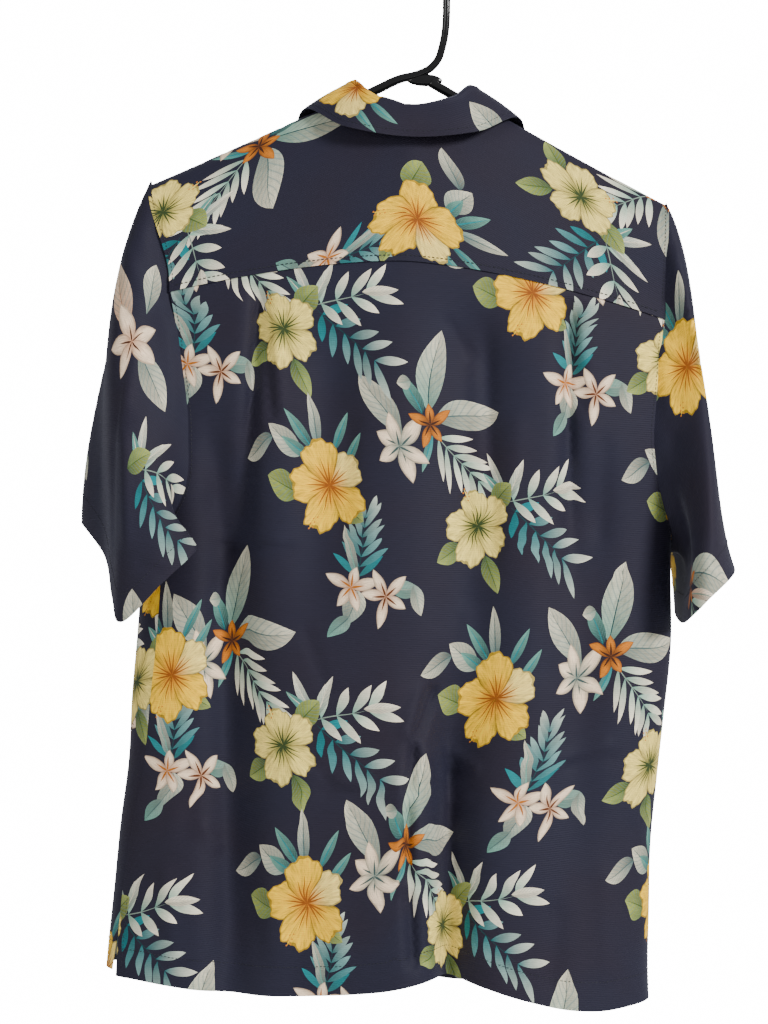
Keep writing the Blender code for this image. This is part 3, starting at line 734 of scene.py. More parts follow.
def sleeve_sheet(side, line, ridge):
    """A sleeve, its top tucked under the body's edge."""
    columns = 168
    loop = even_along(line, columns)
    shares = (np.linspace(0, 1, columns + 1) - ridge) % 1.0
    cuff = round_table(shares, CUFF_LEFT if side == LEFT else CUFF_RIGHT)
    spread = np.clip(loop[:, 1:2] / 0.03, -1, 1) * np.array([0.0, 0.55, 0.0])
    low = ramp(loop[:, 2:], -0.40, -0.47)
    high = ramp(loop[:, 2:], -0.36, -0.20)
    out, down, away = SLEEVE_WAY[side]
    lead = np.array([side * 0.75, 0.0, -0.35]) + low * np.array([side * 0.6, 0.0, 0.5]) + spread
    lead = lead + high * np.array([side * (out - 0.75), 0.0, down + 0.35])
    fall = np.array([side * 0.10, 0.0, -0.95]) + high * np.array([side * away, 0.0, 0.0])
    lengths = np.linalg.norm(cuff - loop, axis=1, keepdims=True)
    rows = []
    for t in np.linspace(-0.016, 1, 93):
        start = loop * (2 * t**3 - 3 * t**2 + 1) + lead * lengths * (t**3 - 2 * t**2 + t)
        end = cuff * (3 * t**2 - 2 * t**3) + fall * lengths * (t**3 - t**2)
        rows.append(start + end)
    points = crease(np.stack(rows), SLEEVE_CREASES[side], BACK)
    across = lengths_along(points, 1)
    across = side * (across - across[:, -1:] * ridge)
    down_steps = np.linalg.norm(np.diff(points, axis=0), axis=2)
    up = np.linspace(1, 0, len(points))[:, None] * down_steps.sum(axis=0)
    flat = settled(points, np.stack([across, up], axis=2))
    top, cuff_end = flat[0, round(ridge * columns)], flat[-1, round(ridge * columns)]
    way = unit(top - cuff_end)
    flat = flat - cuff_end
    return points, np.stack([flat @ (way[1], -way[0]), flat @ way], axis=2)


def pairs(shape, down, over):
    """Slices of a grid: its points, and the points so many rows down and columns over."""
    rows, columns = shape[:2]
    first = (slice(0, rows - down), slice(max(0, -over), columns - max(0, over)))
    second = (slice(down, rows), slice(max(0, over), columns - max(0, -over)))
    return first, second


def settled(points, flat):
    """The flat cut of a form, found by letting a net of its own lengths settle flat.
    Its knots are kept more even at first, and near the seam at its sides."""
    form, net = points[::NET_ROWS, ::NET_COLUMNS], flat[::NET_ROWS, ::NET_COLUMNS].copy()
    links = []
    count = np.zeros(net.shape[:2])
    for down, over in ((0, 1), (1, 0), (1, 1), (1, -1)):
        first, second = pairs(net.shape, down, over)
        one = np.maximum(np.linalg.norm(form[second] - form[first], axis=2), NET_LEAST)
        links.append((first, second, one, 1.0))
        before, after = pairs(one.shape, down, over)
        links.append((*pairs(net.shape, 2 * down, 2 * over), one[before] + one[after], NET_LONG_PULL))
    for first, second, _, pull in links:
        count[first] += pull
        count[second] += pull
    from_seam = np.minimum(np.arange(net.shape[1]), np.arange(net.shape[1])[::-1])
    by_seam = (NET_EVEN_SEAM * np.clip(1 - from_seam / 16, 0, 1))[:, None]
    speed = np.zeros_like(net)
    for number in range(NET_ROUNDS):
        early = max(0.0, 1 - number / NET_START)
        evening = NET_EVEN + NET_EVEN_EARLY * early + by_seam
        push = np.zeros_like(net)
        for first, second, rest, pull in links:
            way = net[second] - net[first]
            length = np.maximum(np.linalg.norm(way, axis=2), 1e-6)
            step = way * (pull * (length - rest) / length / 2)[..., None]
            push[first] += step
            push[second] -= step
        push = push / count[..., None]
        push[1:-1] += evening * (net[2:] + net[:-2] - 2 * net[1:-1])
        push[:, 1:-1] += evening[1:-1] * (net[:, 2:] + net[:, :-2] - 2 * net[:, 1:-1])
        speed = (0.0 if early else NET_KEEP) * speed + push
        net = net + speed
    return finer(finer(net, NET_ROWS, 0), NET_COLUMNS, 1)


def finer(grid, times, axis):
    """A grid with smooth steps put between its own along one axis."""
    grid = np.moveaxis(grid, axis, 0)
    padded = np.concatenate([2 * grid[:1] - grid[1:2], grid, 2 * grid[-1:] - grid[-2:-1]])
    place = np.arange(times * (len(grid) - 1) + 1) / times
    k = np.minimum(place.astype(int), len(grid) - 2)
    u = (place - k).reshape(-1, 1, 1)
    a, b, c, d = padded[k], padded[k + 1], padded[k + 2], padded[k + 3]
    made = b + u / 2 * (c - a + u * (2 * a - 5 * b + 4 * c - d + u * (3 * (b - c) + d - a)))
    return np.moveaxis(made, 0, axis)


def collar_sheet():
    """The collar from the neck seam up its stand, over the fold and down its leaf."""
    spread = np.linspace(0, NECK_BACK_HALF, 60)
    behind = yoke_point(spread, reach_of(neck_drop(spread), BACK))
    reaches = np.linspace(NECK_CORNER_REACH, SEAM_GAP - YOKE_FRONT_REACH, 30)
    over = yoke_point(neck_edge(reaches), reaches)
    across = np.linspace(NECK_HALF_WIDTH, COLLAR_END, 12)[1:]
    height = front_top(across, LEFT)
    drop = ridge_height(across) - height
    depth = -depth_at(drop, FRONT) * flatness(across, height, drop)
    ahead = np.stack([across, depth, height], axis=1)
    line = even_along(np.concatenate([behind, over[1:], ahead]), 75)
    shares = np.linspace(0, 1, 76)
    places = np.concatenate([-shares[:0:-1], shares])
    seam = np.concatenate([line[:0:-1] * (-1, 1, 1), line])
    lines = []
    for column in (1, 2):
        rows = [(row[0], *row[column]) for row in COLLAR]
        table = [(-row[0], -row[1], row[2], row[3]) for row in rows[:0:-1]] + rows
        lines.append(np.stack([smooth_table(places, table, k) for k in (1, 2, 3)], axis=1))
    fold, edge = lines
    away = unit((edge - fold) * (1, 1, 0))
    up = np.array([0, 0, 1.0])
    middle = fold - up * FOLD_ROUND
    inner, outer = middle - away * FOLD_ROUND, middle + away * FOLD_ROUND
    base = seam - unit(inner - seam) * 0.001
    rows = [base + (inner - base) * share for share in np.linspace(0, 1, 10)[:-1]]
    for turn in np.radians(np.linspace(0, 180, 13)):
        rows.append(middle + FOLD_ROUND * (up * math.sin(turn) - away * math.cos(turn)))
    for share in np.linspace(0, 1, 22)[1:]:
        bulge = away * 0.002 * math.sin(math.pi * share)
        rows.append(outer + (edge - outer) * share + bulge)
    points = np.stack(rows)
    across = along_line(points[-8])
    down = lengths_along(points, 0)
    across = np.broadcast_to(across[-1] / 2 - across, down.shape)
    return points, np.stack([across, down[15] - down], axis=2)


def lapel_sheet(side):
    """The front's turned-back top, from the roll line outwards."""
    rows = []
    layer = (WALL + LAYER_GAP) / 2 if side == LEFT else 0
    up = np.linspace(0, 1, 40)
    roll = 0.012 + (COLLAR_END - 0.013) * up
    for out in np.linspace(0, 1, 26):
        across = roll + out * (0.008 + 0.042 * up)
        height = front_top(roll, LEFT) - 0.0015 - out * (0.012 + 0.018 * up)
        drop = ridge_height(across) - height
        depth = depth_at(drop, FRONT) * flatness(side * across, height, drop)
        lift = WALL + LAYER_GAP + layer + LAPEL_ROLL * math.sin(math.pi * out) * up
        lift = lift - 0.0016 * ramp(out, 0.08, 0.0)
        rows.append(np.stack([side * across, -depth - lift, height], axis=1))
    points = np.stack(rows)
    return points, np.stack([side * lengths_along(points, 0), lengths_along(points, 1)], axis=2)


def crease(points, creases, face):
    """Moves the cloth of one face along its depth by creases."""
    moved = points.copy()
    place = points[..., [0, 2]]
    for x1, z1, x2, z2, out, width in np.array(creases) / 1000:
        start, way = np.array((x1, z1)), np.array((x2 - x1, z2 - z1))
        share = np.clip(((place - start) @ way) / (way @ way), 0, 1)
        near = start + share[..., None] * way
        away = np.linalg.norm(place - near, axis=-1) / width
        ends = ramp(share, 0, 0.2) * ramp(share, 1, 0.8)
        front_side = ramp(points[..., 1] * face, -0.005, 0.01)
        moved[..., 1] += face * out * ends * np.exp(-(away**2)) * front_side
    return moved


def form_normals(points, turn):
    """Directions square to a grid of points, on its outside."""
    across = np.gradient(points, axis=1)
    down = np.gradient(points, axis=0)
    return turn * unit(np.cross(down, across))


def between(grid, row, column):
    """Values of a grid at fractional rows and columns."""
    i = np.clip(row.astype(int), 0, grid.shape[0] - 2)
    j = np.clip(column.astype(int), 0, grid.shape[1] - 2)
    u, v = (row - i)[:, None], (column - j)[:, None]
    upper = grid[i, j] * (1 - v) + grid[i, j + 1] * v
    lower = grid[i + 1, j] * (1 - v) + grid[i + 1, j + 1] * v
    return upper * (1 - u) + lower * u


def lay_on(sheet, turn):
    """A function that lays flat places on a sheet's form: (points, normals)."""
    points, flat = sheet
    normals = form_normals(points, turn)
    rows, columns = points.shape[:2]
    by_row = np.gradient(flat, axis=0)
    by_column = np.gradient(flat, axis=1)
    joined = np.concatenate([flat, by_row, by_column], axis=2)
    known = flat[::9, ::9].reshape(-1, 2)
    starts = np.meshgrid(range(0, rows, 9), range(0, columns, 9), indexing="ij")
    starts = np.stack(starts, axis=2).reshape(-1, 2)

    def lay(places):
        parts = np.array_split(places, len(places) // 3000 + 1)
        nearest = [np.argmin(((part[:, None] - known) ** 2).sum(axis=2), axis=1) for part in parts]
        row, column = starts[np.concatenate(nearest)].T.astype(float)
        for _ in range(14):
            found = between(joined, row, column)
            off = places - found[:, :2]
            a, b, c, d = found[:, 2], found[:, 4], found[:, 3], found[:, 5]
            scale = a * d - b * c
            scale = np.where(abs(scale) < 1e-9, 1e-9, scale)
            row = np.clip(row + (off[:, 0] * d - off[:, 1] * b) / scale, 0, rows - 1)
            column = np.clip(column + (off[:, 1] * a - off[:, 0] * c) / scale, 0, columns - 1)
        return between(points, row, column), unit(between(normals, row, column))

    return lay


def border(flat, step):
    """Outline of a grid of flat places, as points about a step apart."""
    sides = [flat[:, 0], flat[-1, :], flat[::-1, -1], flat[0, ::-1]]
    line = []
    for side in sides:
        count = max(2, round(along_line(side)[-1] / step))
        line.extend(even_along(side, count)[:-1])
    return np.array(line)


# The print: each shape is (outline, base colour, tip colour, place, veins), where
# place takes flat points to (share from base to tip, share across, -1 to 1)


def dye(red, green, blue):
    """Linear colour of an sRGB one given in 0 to 255."""
    value = np.array([red, green, blue]) / 255
    return np.where(value < 0.04045, value / 12.92, ((value + 0.055) / 1.055) ** 2.4)


YELLOW, GOLD, CREAM = dye(255, 200, 24), dye(206, 110, 0), dye(253, 222, 120)
LIME, PALE_LIME, MOSS = dye(158, 168, 82), dye(248, 222, 116), dye(66, 88, 34)
TEAL, PALE_TEAL, DEEP_TEAL = dye(0, 124, 130), dye(106, 160, 142), dye(0, 56, 60)
MIST = dye(40, 104, 106)
ASH, PALE_ASH, SLATE = dye(128, 146, 132), dye(216, 208, 182), dye(70, 94, 92)
CHALK = dye(250, 238, 212)
RUST, AMBER = dye(92, 42, 4), dye(206, 118, 18)
BLUSH, PALE_BLUSH = dye(200, 146, 112), dye(255, 226, 192)
SILVER, SEA, FROST = (ASH, PALE_ASH), (DEEP_TEAL, PALE_TEAL), (PALE_TEAL, CHALK)
GREEN, ROSE = (MOSS, LIME), (BLUSH, PALE_BLUSH)
NO_VEINS, LEAF_VEINS, PETAL_STREAKS = 0.0, 0.5, 1.0


def direction(angle):
    """The way at an angle in degrees, and the way to its left."""
    turn = math.radians(angle)
    return np.array([math.cos(turn), math.sin(turn)]), np.array([-math.sin(turn), math.cos(turn)])


def blade_shape(base, angle, length, width, colours, bend=0.0, full=0.45, veins=NO_VEINS, half=0, points=9):
    """A leaf shape: base in millimetres, angle in degrees, widest at share full of
    its length, bent sideways by bend times its length. half keeps one side of it."""
    way, side = direction(angle)
    base, length, width = np.array(base) * MM, length * MM, width * MM
    power = math.log(0.5) / math.log(full)

    def half_width(t):
        return width / 2 * np.sin(math.pi * np.clip(t, 0, 1) ** power) ** 0.85

    def middle(t):
        return bend * length * np.sin(math.pi * np.clip(t, 0, 1) / 2) ** 2

    def place(flat):
        off = flat - base
        t = off @ way / length
        return t, (off @ side - middle(t)) / np.maximum(half_width(t), 0.0004)

    t = np.linspace(0, 1, points + 2)[:, None]
    spine = base + way * length * t + side * middle(t)
    left, right = spine + side * half_width(t), spine - side * half_width(t)
    if half:
        outline = np.concatenate([spine, (left if half > 0 else right)[-2:0:-1]])
    else:
        outline = np.concatenate([left, right[-2:0:-1]])
    return outline, *colours, place, veins


def leaf(base, angle, length, width, colours, vein, bend=0.0, full=0.45):
    """A leaf of two tones with its middle vein."""
    dark = (colours[0] * 0.62, colours[1] * 0.76)
    return [
        blade_shape(base, angle, length, width, colours, bend, full, LEAF_VEINS, points=12),
        blade_shape(base, angle, length, width, dark, bend, full, LEAF_VEINS, half=-1, points=12),
        blade_shape(base, angle, length * 0.97, 1.1, (vein, vein), bend * 1.03, 0.3),
    ]


def frond(
    base, angle, length, leaflets, reach, width, colours, stem, lean, sides=(1, -1), bend=0.0, fade=0.0
):
    """A stem with leaflets along it. reach and lean each hold the first leaflet's
    value and the last one's. The tips turn to chalk towards the end by fade."""
    shapes = [blade_shape(base, angle, length, 0.9, (stem, stem), bend, 0.25)]
    way, side = direction(angle)
    for number in range(leaflets):
        step = number / (leaflets - 1)
        share = 0.10 + 0.88 * step
        root = np.array(base) + way * length * share
        root = root + side * bend * length * math.sin(math.pi * share / 2) ** 2
        turn = angle + math.degrees(math.atan(bend * math.pi / 2 * math.sin(math.pi * share)))
        for hand in sides:
            out = lean[0] + (lean[1] - lean[0]) * step + 4 * math.sin(number * 2.3 + hand)
            long = (reach[0] + (reach[1] - reach[0]) * step) * (1 + 0.07 * math.sin(number * 2.9 + hand))
            tint = 1 + 0.14 * math.sin(number * 1.7 + hand * 2)
            pale = fade * step
            pair = (colours[0] * tint, (colours[1] * (1 - pale) + CHALK * pale) * tint)
            shapes.append(blade_shape(root, turn + hand * out, long, width, pair, -0.05 * hand, 0.5))
    return shapes


def petal(centre, angle, reach, spread, colours, notch=0.0):
    """A broad petal of a hibiscus: spread is its half angle in degrees."""
    centre, reach = np.array(centre) * MM, reach * MM
    phase = angle * 0.37

    def rim(share):
        round_off = (1 - np.clip(np.abs(share), 0, 1) ** 2.6) ** 0.5
        waves = PETAL_RUFFLE * (np.sin(share * 9 + phase) + 0.6 * np.sin(share * 21 + phase * 3))
        waves = waves + notch * np.exp(-((share / 0.22) ** 2))
        return reach * (0.30 + 0.70 * round_off) * (1 + waves)

    def place(flat):
        off = flat - centre
        turn = np.degrees(np.arctan2(off[:, 1], off[:, 0])) - angle
        share = ((turn + 180) % 360 - 180) / spread
        return np.hypot(off[:, 0], off[:, 1]) / reach, share

    share = np.linspace(-1, 1, 27)
    turn = np.radians(angle + share * spread)
    outline = centre + rim(share)[:, None] * np.stack([np.cos(turn), np.sin(turn)], axis=1)
    return np.concatenate([[centre], outline]), *colours, place, PETAL_STREAKS


def disc(centre, radius, colour, points):
    """A small round spot of one colour."""
    turn = np.linspace(0, 2 * math.pi, points, endpoint=False)
    outline = (np.array(centre) + radius * np.stack([np.cos(turn), np.sin(turn)], axis=1)) * MM

    def place(flat):
        return np.full(len(flat), 0.5), np.zeros(len(flat))

    return outline, colour, colour, place, NO_VEINS


def hibiscus(reach, turn, petals, throat, stamen):
    """Five ruffled petals, the throat's rays and a long stamen."""
    centre = (0, 0)
    shapes = []
    for step, grow, spread, colours in petals:
        shadow = (colours[0] * 0.42, colours[1] * 0.44)
        shapes.append(petal(centre, turn + step, reach * grow * 1.025, spread + 2.2, shadow))
        shapes.append(petal(centre, turn + step, reach * grow, spread, colours, notch=-0.05))
    for step, grow, spread, _ in petals:
        for off in (-0.42, 0.0, 0.42):
            ray = (throat, throat * 1.15)
            long = reach * grow * (0.72 - abs(off) * 0.3)
            shapes.append(blade_shape(centre, turn + step + off * spread, long, 1.3, ray, 0, 0.25))
    angle, long, stem = stamen
    for width, base, tip in ((2.6, 0.5, 0.6), (1.7, 0.85, 1.0)):
        pair = (stem * base, stem * tip)
        shapes.append(blade_shape(centre, angle, long, width, pair, -0.12, 0.7, points=6))
    way, side = direction(angle)
    for number in range(6):
        share = 0.72 + 0.055 * number
        spot = np.array(centre) + way * long * share + side * (-0.10 * long + 1.5 * (-1) ** number)
        shapes.append(disc(spot, 0.8, AMBER, 5))
    return shapes


def star_flower(centre, reach, turn, colours, eye, petals=5, width=0.42, squash=1.0):
    """A plumeria or small lily: pointed petals round a coloured eye."""
    shapes = []
    shade = (colours[0] * 0.5, colours[1] * 0.5)
    wide = reach * width
    for number in range(petals):
        angle = turn + number * 360 / petals + 9 * math.sin(number * 2.1 + turn)
        long = reach * (1 - (1 - squash) * abs(math.sin(math.radians(angle))))
        long = long * (1 + 0.16 * math.sin(number * 2.6 + turn))
        shapes.append(blade_shape(centre, angle, long * 1.04, wide * 1.14, shade, 0.06, 0.47))
        shapes.append(blade_shape(centre, angle, long, wide, colours, 0.07, 0.47, PETAL_STREAKS))
    for number in range(petals):
        angle = turn + number * 360 / petals
        shapes.append(blade_shape(centre, angle, reach * 0.52, 1.8, (eye, eye), 0.05, 0.3, points=5))
    return shapes


def joined(*parts):
    """The shapes of several parts in one list, each part lying over those before."""
    return [shape for part in parts for shape in part]


def yellow_hibiscus_group():
    """Yellow hibiscus with blades above it, a curled leaf and two green leaves."""
    petals = (
        (180, 0.98, 42, (GOLD, YELLOW)),
        (252, 1.06, 41, (GOLD * 1.05, YELLOW * 1.03)),
        (-36, 1.02, 39, (GOLD, YELLOW)),
        (36, 0.96, 40, (GOLD * 1.1, CREAM)),
        (108, 1.04, 42, (GOLD, YELLOW * 0.97)),
    )
    return joined(
        leaf((-24, 24), 152, 36, 20, SILVER, SLATE, -0.10),
        leaf((-50, 34), 196, 34, 17, (SLATE, PALE_ASH), SLATE, 0.22),
        leaf((-8, 30), 98, 46, 11, (MIST, PALE_ASH), SLATE),
        leaf((-12, 28), 130, 42, 10, SEA, TEAL),
        leaf((-16, 22), 150, 30, 10, SEA, TEAL),
        leaf((6, 28), 66, 36, 8, (MIST, PALE_TEAL), TEAL),
        leaf((16, 16), 58, 34, 8, (MIST, PALE_TEAL), TEAL),
        leaf((-26, -8), 168, 32, 25, GREEN, MOSS, -0.1, 0.55),
        leaf((14, -18), -24, 24, 15, GREEN, MOSS),
        hibiscus(36, 0, petals, GOLD * 0.45, (-108, 40, YELLOW)),
    )


def green_fronds():
    """A teal frond and a pale one, from one green leaf."""
    blue = (DEEP_TEAL * 0.5 + TEAL * 0.5, TEAL)
    return joined(
        frond((30, 18), -38, 70, 6, (24, 33), 7.4, blue, DEEP_TEAL, (62, 38), (-1,), 0.05, 0.45),
        frond((30, 18), -38, 70, 5, (24, 31), 7.6, blue, DEEP_TEAL, (58, 44), (1,), 0.05, 0.7),
        frond((30, 21), 18, 50, 4, (27, 32), 7.8, FROST, ASH, (62, 34), bend=-0.06),
        leaf((74, 34), 6, 34, 8.5, (PALE_ASH, CHALK), PALE_ASH),
        leaf((28, 22), 116, 42, 9, (TEAL, CHALK), PALE_ASH),
        leaf((28, 22), 138, 32, 8, (TEAL, PALE_TEAL), PALE_ASH),
        leaf((29, 22), 66, 40, 9, FROST, PALE_ASH, -0.06),
        leaf((12, 16), 44, 30, 21, GREEN, MOSS),
    )


def green_hibiscus_group():
    """Pale green hibiscus with three leaves and two fronds to its right."""
    petals = (
        (172, 0.98, 41, (MOSS, PALE_LIME)),
        (244, 1.06, 40, (MOSS, PALE_LIME)),
        (-44, 1.0, 39, (MOSS, PALE_LIME * 0.97)),
        (30, 0.98, 40, (MOSS, PALE_LIME)),
        (100, 0.92, 41, (MOSS, PALE_LIME)),
    )
    return joined(
        green_fronds(),
        leaf((-16, -16), 212, 28, 18, GREEN, MOSS),
        leaf((8, -24), -72, 34, 16, GREEN, MOSS, 0.12),
        hibiscus(31, 8, petals, MOSS * 0.5, (124, 33, PALE_LIME)),
    )


def big_leaf_group():
    """Three great leaves and a palm frond round a small rust flower and a lily."""
    return joined(
        frond((4, -6), -47, 58, 6, (34, 30), 6.0, FROST, ASH, (44, 26), (1,), 0.08),
        frond((4, -6), -47, 58, 6, (38, 26), 6.0, FROST, ASH, (48, 36), (-1,), 0.08),
        leaf((2, -8), -112, 34, 7, (TEAL, PALE_TEAL), TEAL),
        leaf((-3, 10), 78, 70, 28, (PALE_TEAL, PALE_ASH), DEEP_TEAL, -0.03, 0.5),
        leaf((4, 4), 22, 66, 27, SILVER, SLATE, -0.24, 0.5),
        leaf((-8, 8), 108, 34, 14, SEA, TEAL, 0.1),
        leaf((-15, 34), 190, 13, 12, SILVER, ASH),
        leaf((-26, -12), 124, 62, 24, SILVER, SLATE, 0.05, 0.55),
        star_flower((-28, -19), 29, 40, (ASH, PALE_BLUSH), SLATE * 0.7, 3, 0.44, 0.9),
        star_flower((-30, -20), 27, 96, (ASH, PALE_BLUSH), SLATE * 0.7, 3, 0.40, 0.9),
        star_flower((0, 0), 23, 20, (RUST, AMBER), RUST * 0.4, 5, 0.34, 0.8),
    )


def plumeria_group():
    """A feathery frond over two blush flowers, with curled leaves."""
    return joined(
        frond((-8, 6), 94, 54, 7, (30, 22), 6, (MIST, TEAL), DEEP_TEAL, (56, 30), bend=-0.12, fade=0.5),
        leaf((-9, 10), 112, 46, 9, (MIST, PALE_ASH), PALE_TEAL),
        leaf((22, 2), 14, 26, 15, (PALE_TEAL, ASH), ASH, -0.10),
        leaf((42, 8), -64, 26, 13, SILVER, ASH, -0.10),
        leaf((-8, 0), -104, 30, 21, (PALE_ASH, ASH), SLATE, -0.06, 0.4),
        leaf((-15, -22), -128, 26, 14, (ASH, PALE_TEAL), SLATE, -0.14, 0.4),
        star_flower((-15, 2), 25, 80, ROSE, AMBER * 0.7, 5, 0.36, 0.8),
        star_flower((17, -3), 25, 38, (BLUSH * 0.9, PALE_BLUSH), RUST, 5, 0.34, 0.9),
    )


def lily_spray():
    """A blush lily with three leaves."""
    return joined(
        leaf((-6, 10), 104, 66, 25, ROSE, BLUSH * 0.6, full=0.5),
        leaf((14, 24), 74, 44, 19, SILVER, SLATE, 0.1, 0.6),
        leaf((10, -8), -52, 60, 24, SILVER, SLATE, full=0.5),
        star_flower((0, 0), 32, 30, ROSE, RUST * 0.5, 5, 0.46, 0.95),
    )


def leaf_and_palm():
    """One great leaf over a palm frond."""
    return joined(
        frond((4, -6), -47, 64, 6, (44, 34), 7.0, FROST, ASH, (44, 26), (1,), 0.08),
        frond((4, -6), -47, 64, 6, (42, 30), 7.0, FROST, ASH, (48, 36), (-1,), 0.08),
        leaf((0, 6), 14, 100, 30, SILVER, SLATE, -0.12, 0.5),
        leaf((6, -6), 4, 60, 8, (BLUSH, CHALK), ASH),
        star_flower((0, 0), 18, 20, (RUST, AMBER), RUST * 0.4, 5, 0.34),
    )


def lone_leaf():
    """One broad pale leaf."""
    return leaf((0, 0), 180, 50, 25, SILVER, SLATE, 0.08, 0.5)


MOTIFS = (
    yellow_hibiscus_group(),
    green_hibiscus_group(),
    big_leaf_group(),
    plumeria_group(),
    green_fronds(),
    lone_leaf(),
    lily_spray(),
    leaf_and_palm(),
)


def turned(shapes, offset, angle):
    """A motif's shapes moved and turned, their places with them."""
    spin = np.array(direction(angle))
    moved = []
    for outline, base, tip, place, veins in shapes:

        def moved_place(flat, place=place):
            return place((flat - offset) @ spin.T / (SQUEEZE, 1))

        moved.append((outline * (SQUEEZE, 1) @ spin + offset, base, tip, moved_place, veins))
    return moved


def repeats(origins):
    """Places of the half-drop repeat, from one place of each motif."""
    steps = []
    for column in range(-4, 5):
        for row in range(-5, 6):
            drop = REPEAT_UP / 2 * (column % 2)
            steps.append((column * REPEAT_ACROSS / 2, row * REPEAT_UP + drop))
    return [[np.array(origin) + step for step in steps] for origin in origins]


def printed(outline, places, angle):
    """Shapes of the print that meet the outline's box."""
    low, high = outline.min(axis=0), outline.max(axis=0)
    shapes = []
    for kind in PRINT_ORDER:
        for spot in places[kind] if kind < len(places) else ():
            own_turn = spot[2] if len(spot) > 2 else angle
            spot = np.array(spot[:2])
            if (spot < low - MOTIF_REACH).any() or (spot > high + MOTIF_REACH).any():
                continue
            for shape in turned(MOTIFS[kind], spot, own_turn):
                if (shape[0].max(axis=0) > low).all() and (shape[0].min(axis=0) < high).all():
                    shapes.append(shape)
    return shapes


def inside(points, outline):
    """Which points lie in a closed outline."""
    hits = np.zeros(len(points), int)
    x, y = points.T
    for (x1, y1), (x2, y2) in zip(outline, np.roll(outline, -1, axis=0)):
        if y1 == y2:
            continue
        crosses = (y1 > y) != (y2 > y)
        hits += crosses & (x < x1 + (y - y1) * (x2 - x1) / (y2 - y1))
    return hits % 2 == 1


def cut_cloth(outline, shapes):
    """(points, triangles, shape of each triangle) of flat cloth cut along its
    outline and its print. Shape 0 is the ground."""
    low, high = outline.min(axis=0), outline.max(axis=0)
    grid = []
    for number, height in enumerate(np.arange(low[1], high[1], CLOTH_STEP * 0.866)):
        across = np.arange(low[0] + (number % 2) * CLOTH_STEP / 2, high[0], CLOTH_STEP)
        grid.append(np.stack([across, np.full(len(across), height)], axis=1))
    grid = np.concatenate(grid)
    grid = grid[inside(grid, outline)]
    loops = [outline] + [shape[0] for shape in shapes]
    edges = []
    count = 0
    for loop in loops:
        edges += [(count + k, count + (k + 1) % len(loop)) for k in range(len(loop))]
        count += len(loop)
    places = np.concatenate([*loops, grid])
    found = delaunay_2d_cdt([Vector(place) for place in places.tolist()], edges, [], 0, 1e-6, False)
    points, triangles = np.array([tuple(place) for place in found[0]]), np.array(found[2])
    middles = points[triangles].mean(axis=1)
    kept = inside(middles, outline)
    triangles, middles = triangles[kept], middles[kept]
    owners = np.zeros(len(middles), int)
    for number, (loop, *_) in enumerate(shapes, 1):
        near = (middles > loop.min(axis=0)).all(axis=1) & (middles < loop.max(axis=0)).all(axis=1)
        near = np.flatnonzero(near)
        owners[near[inside(middles[near], loop)]] = number
    return points, triangles.tolist(), owners.tolist()


def mesh_from(shape, name):
    """The mesh of a finished bmesh, which is freed."""
    mesh = bpy.data.meshes.new(name)
    shape.to_mesh(mesh)
    shape.free()
    return mesh


def placed(name, data):
    """An object of some data, in the scene."""
    made = bpy.data.objects.new(name, data)
    bpy.context.scene.collection.objects.link(made)
    return made


def add_piece(name, mesh, material, slot, *nodes):
    """A piece of the shirt or hanger, and the nodes that it stands for."""
    piece = placed(name, mesh)
    mesh.materials.append(material)
    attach(piece, "root")
    if nodes:
        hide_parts(*nodes)
    return piece


def cloth_piece(node, outline, lay, places, angle=0.0):
    """A piece of cloth: cut flat, given its second side and its rim, laid on its
    form and coloured with its print."""
    shapes = printed(outline, places, angle)
    flat, triangles, owners = cut_cloth(outline, shapes)
    shape = bmesh.new()
    verts = [shape.verts.new((x, y, 0)) for x, y in flat]
    owner_layer = shape.faces.layers.int.new("shape")
    for corners, owner in zip(triangles, owners):
        face = shape.faces.new([verts[k] for k in corners])
        face[owner_layer] = owner
    for vert in [vert for vert in shape.verts if not vert.link_faces]:
        shape.verts.remove(vert)
    made = bmesh.ops.extrude_face_region(shape, geom=list(shape.faces), use_keep_orig=True)
    raised = [item for item in made["geom"] if isinstance(item, bmesh.types.BMVert)]
    bmesh.ops.translate(shape, vec=(0, 0, 1), verts=raised)
    bmesh.ops.recalc_face_normals(shape, faces=shape.faces)
    mesh = mesh_from(shape, f"{node}_cloth")

    places = np.empty(len(mesh.vertices) * 3)
    mesh.vertices.foreach_get("co", places)
    places = places.reshape(-1, 3)
    points, normals = lay(places[:, :2])
    layer = places[:, 2:] - 0.5
    mesh.vertices.foreach_set("co", (points + normals * CLOTH * layer).ravel())
    print_colours(mesh, places, shapes)
    smooth_both_sides(mesh, places, normals)
    return add_piece(f"{node}_cloth", mesh, printed_crepe, "cloth", node)


def corner_data(mesh):
    """The vertex and the face of every corner."""
    corners = np.empty(len(mesh.loops), int)
    mesh.loops.foreach_get("vertex_index", corners)
    sizes = np.empty(len(mesh.polygons), int)
    mesh.polygons.foreach_get("loop_total", sizes)
    return corners, np.repeat(np.arange(len(sizes)), sizes)


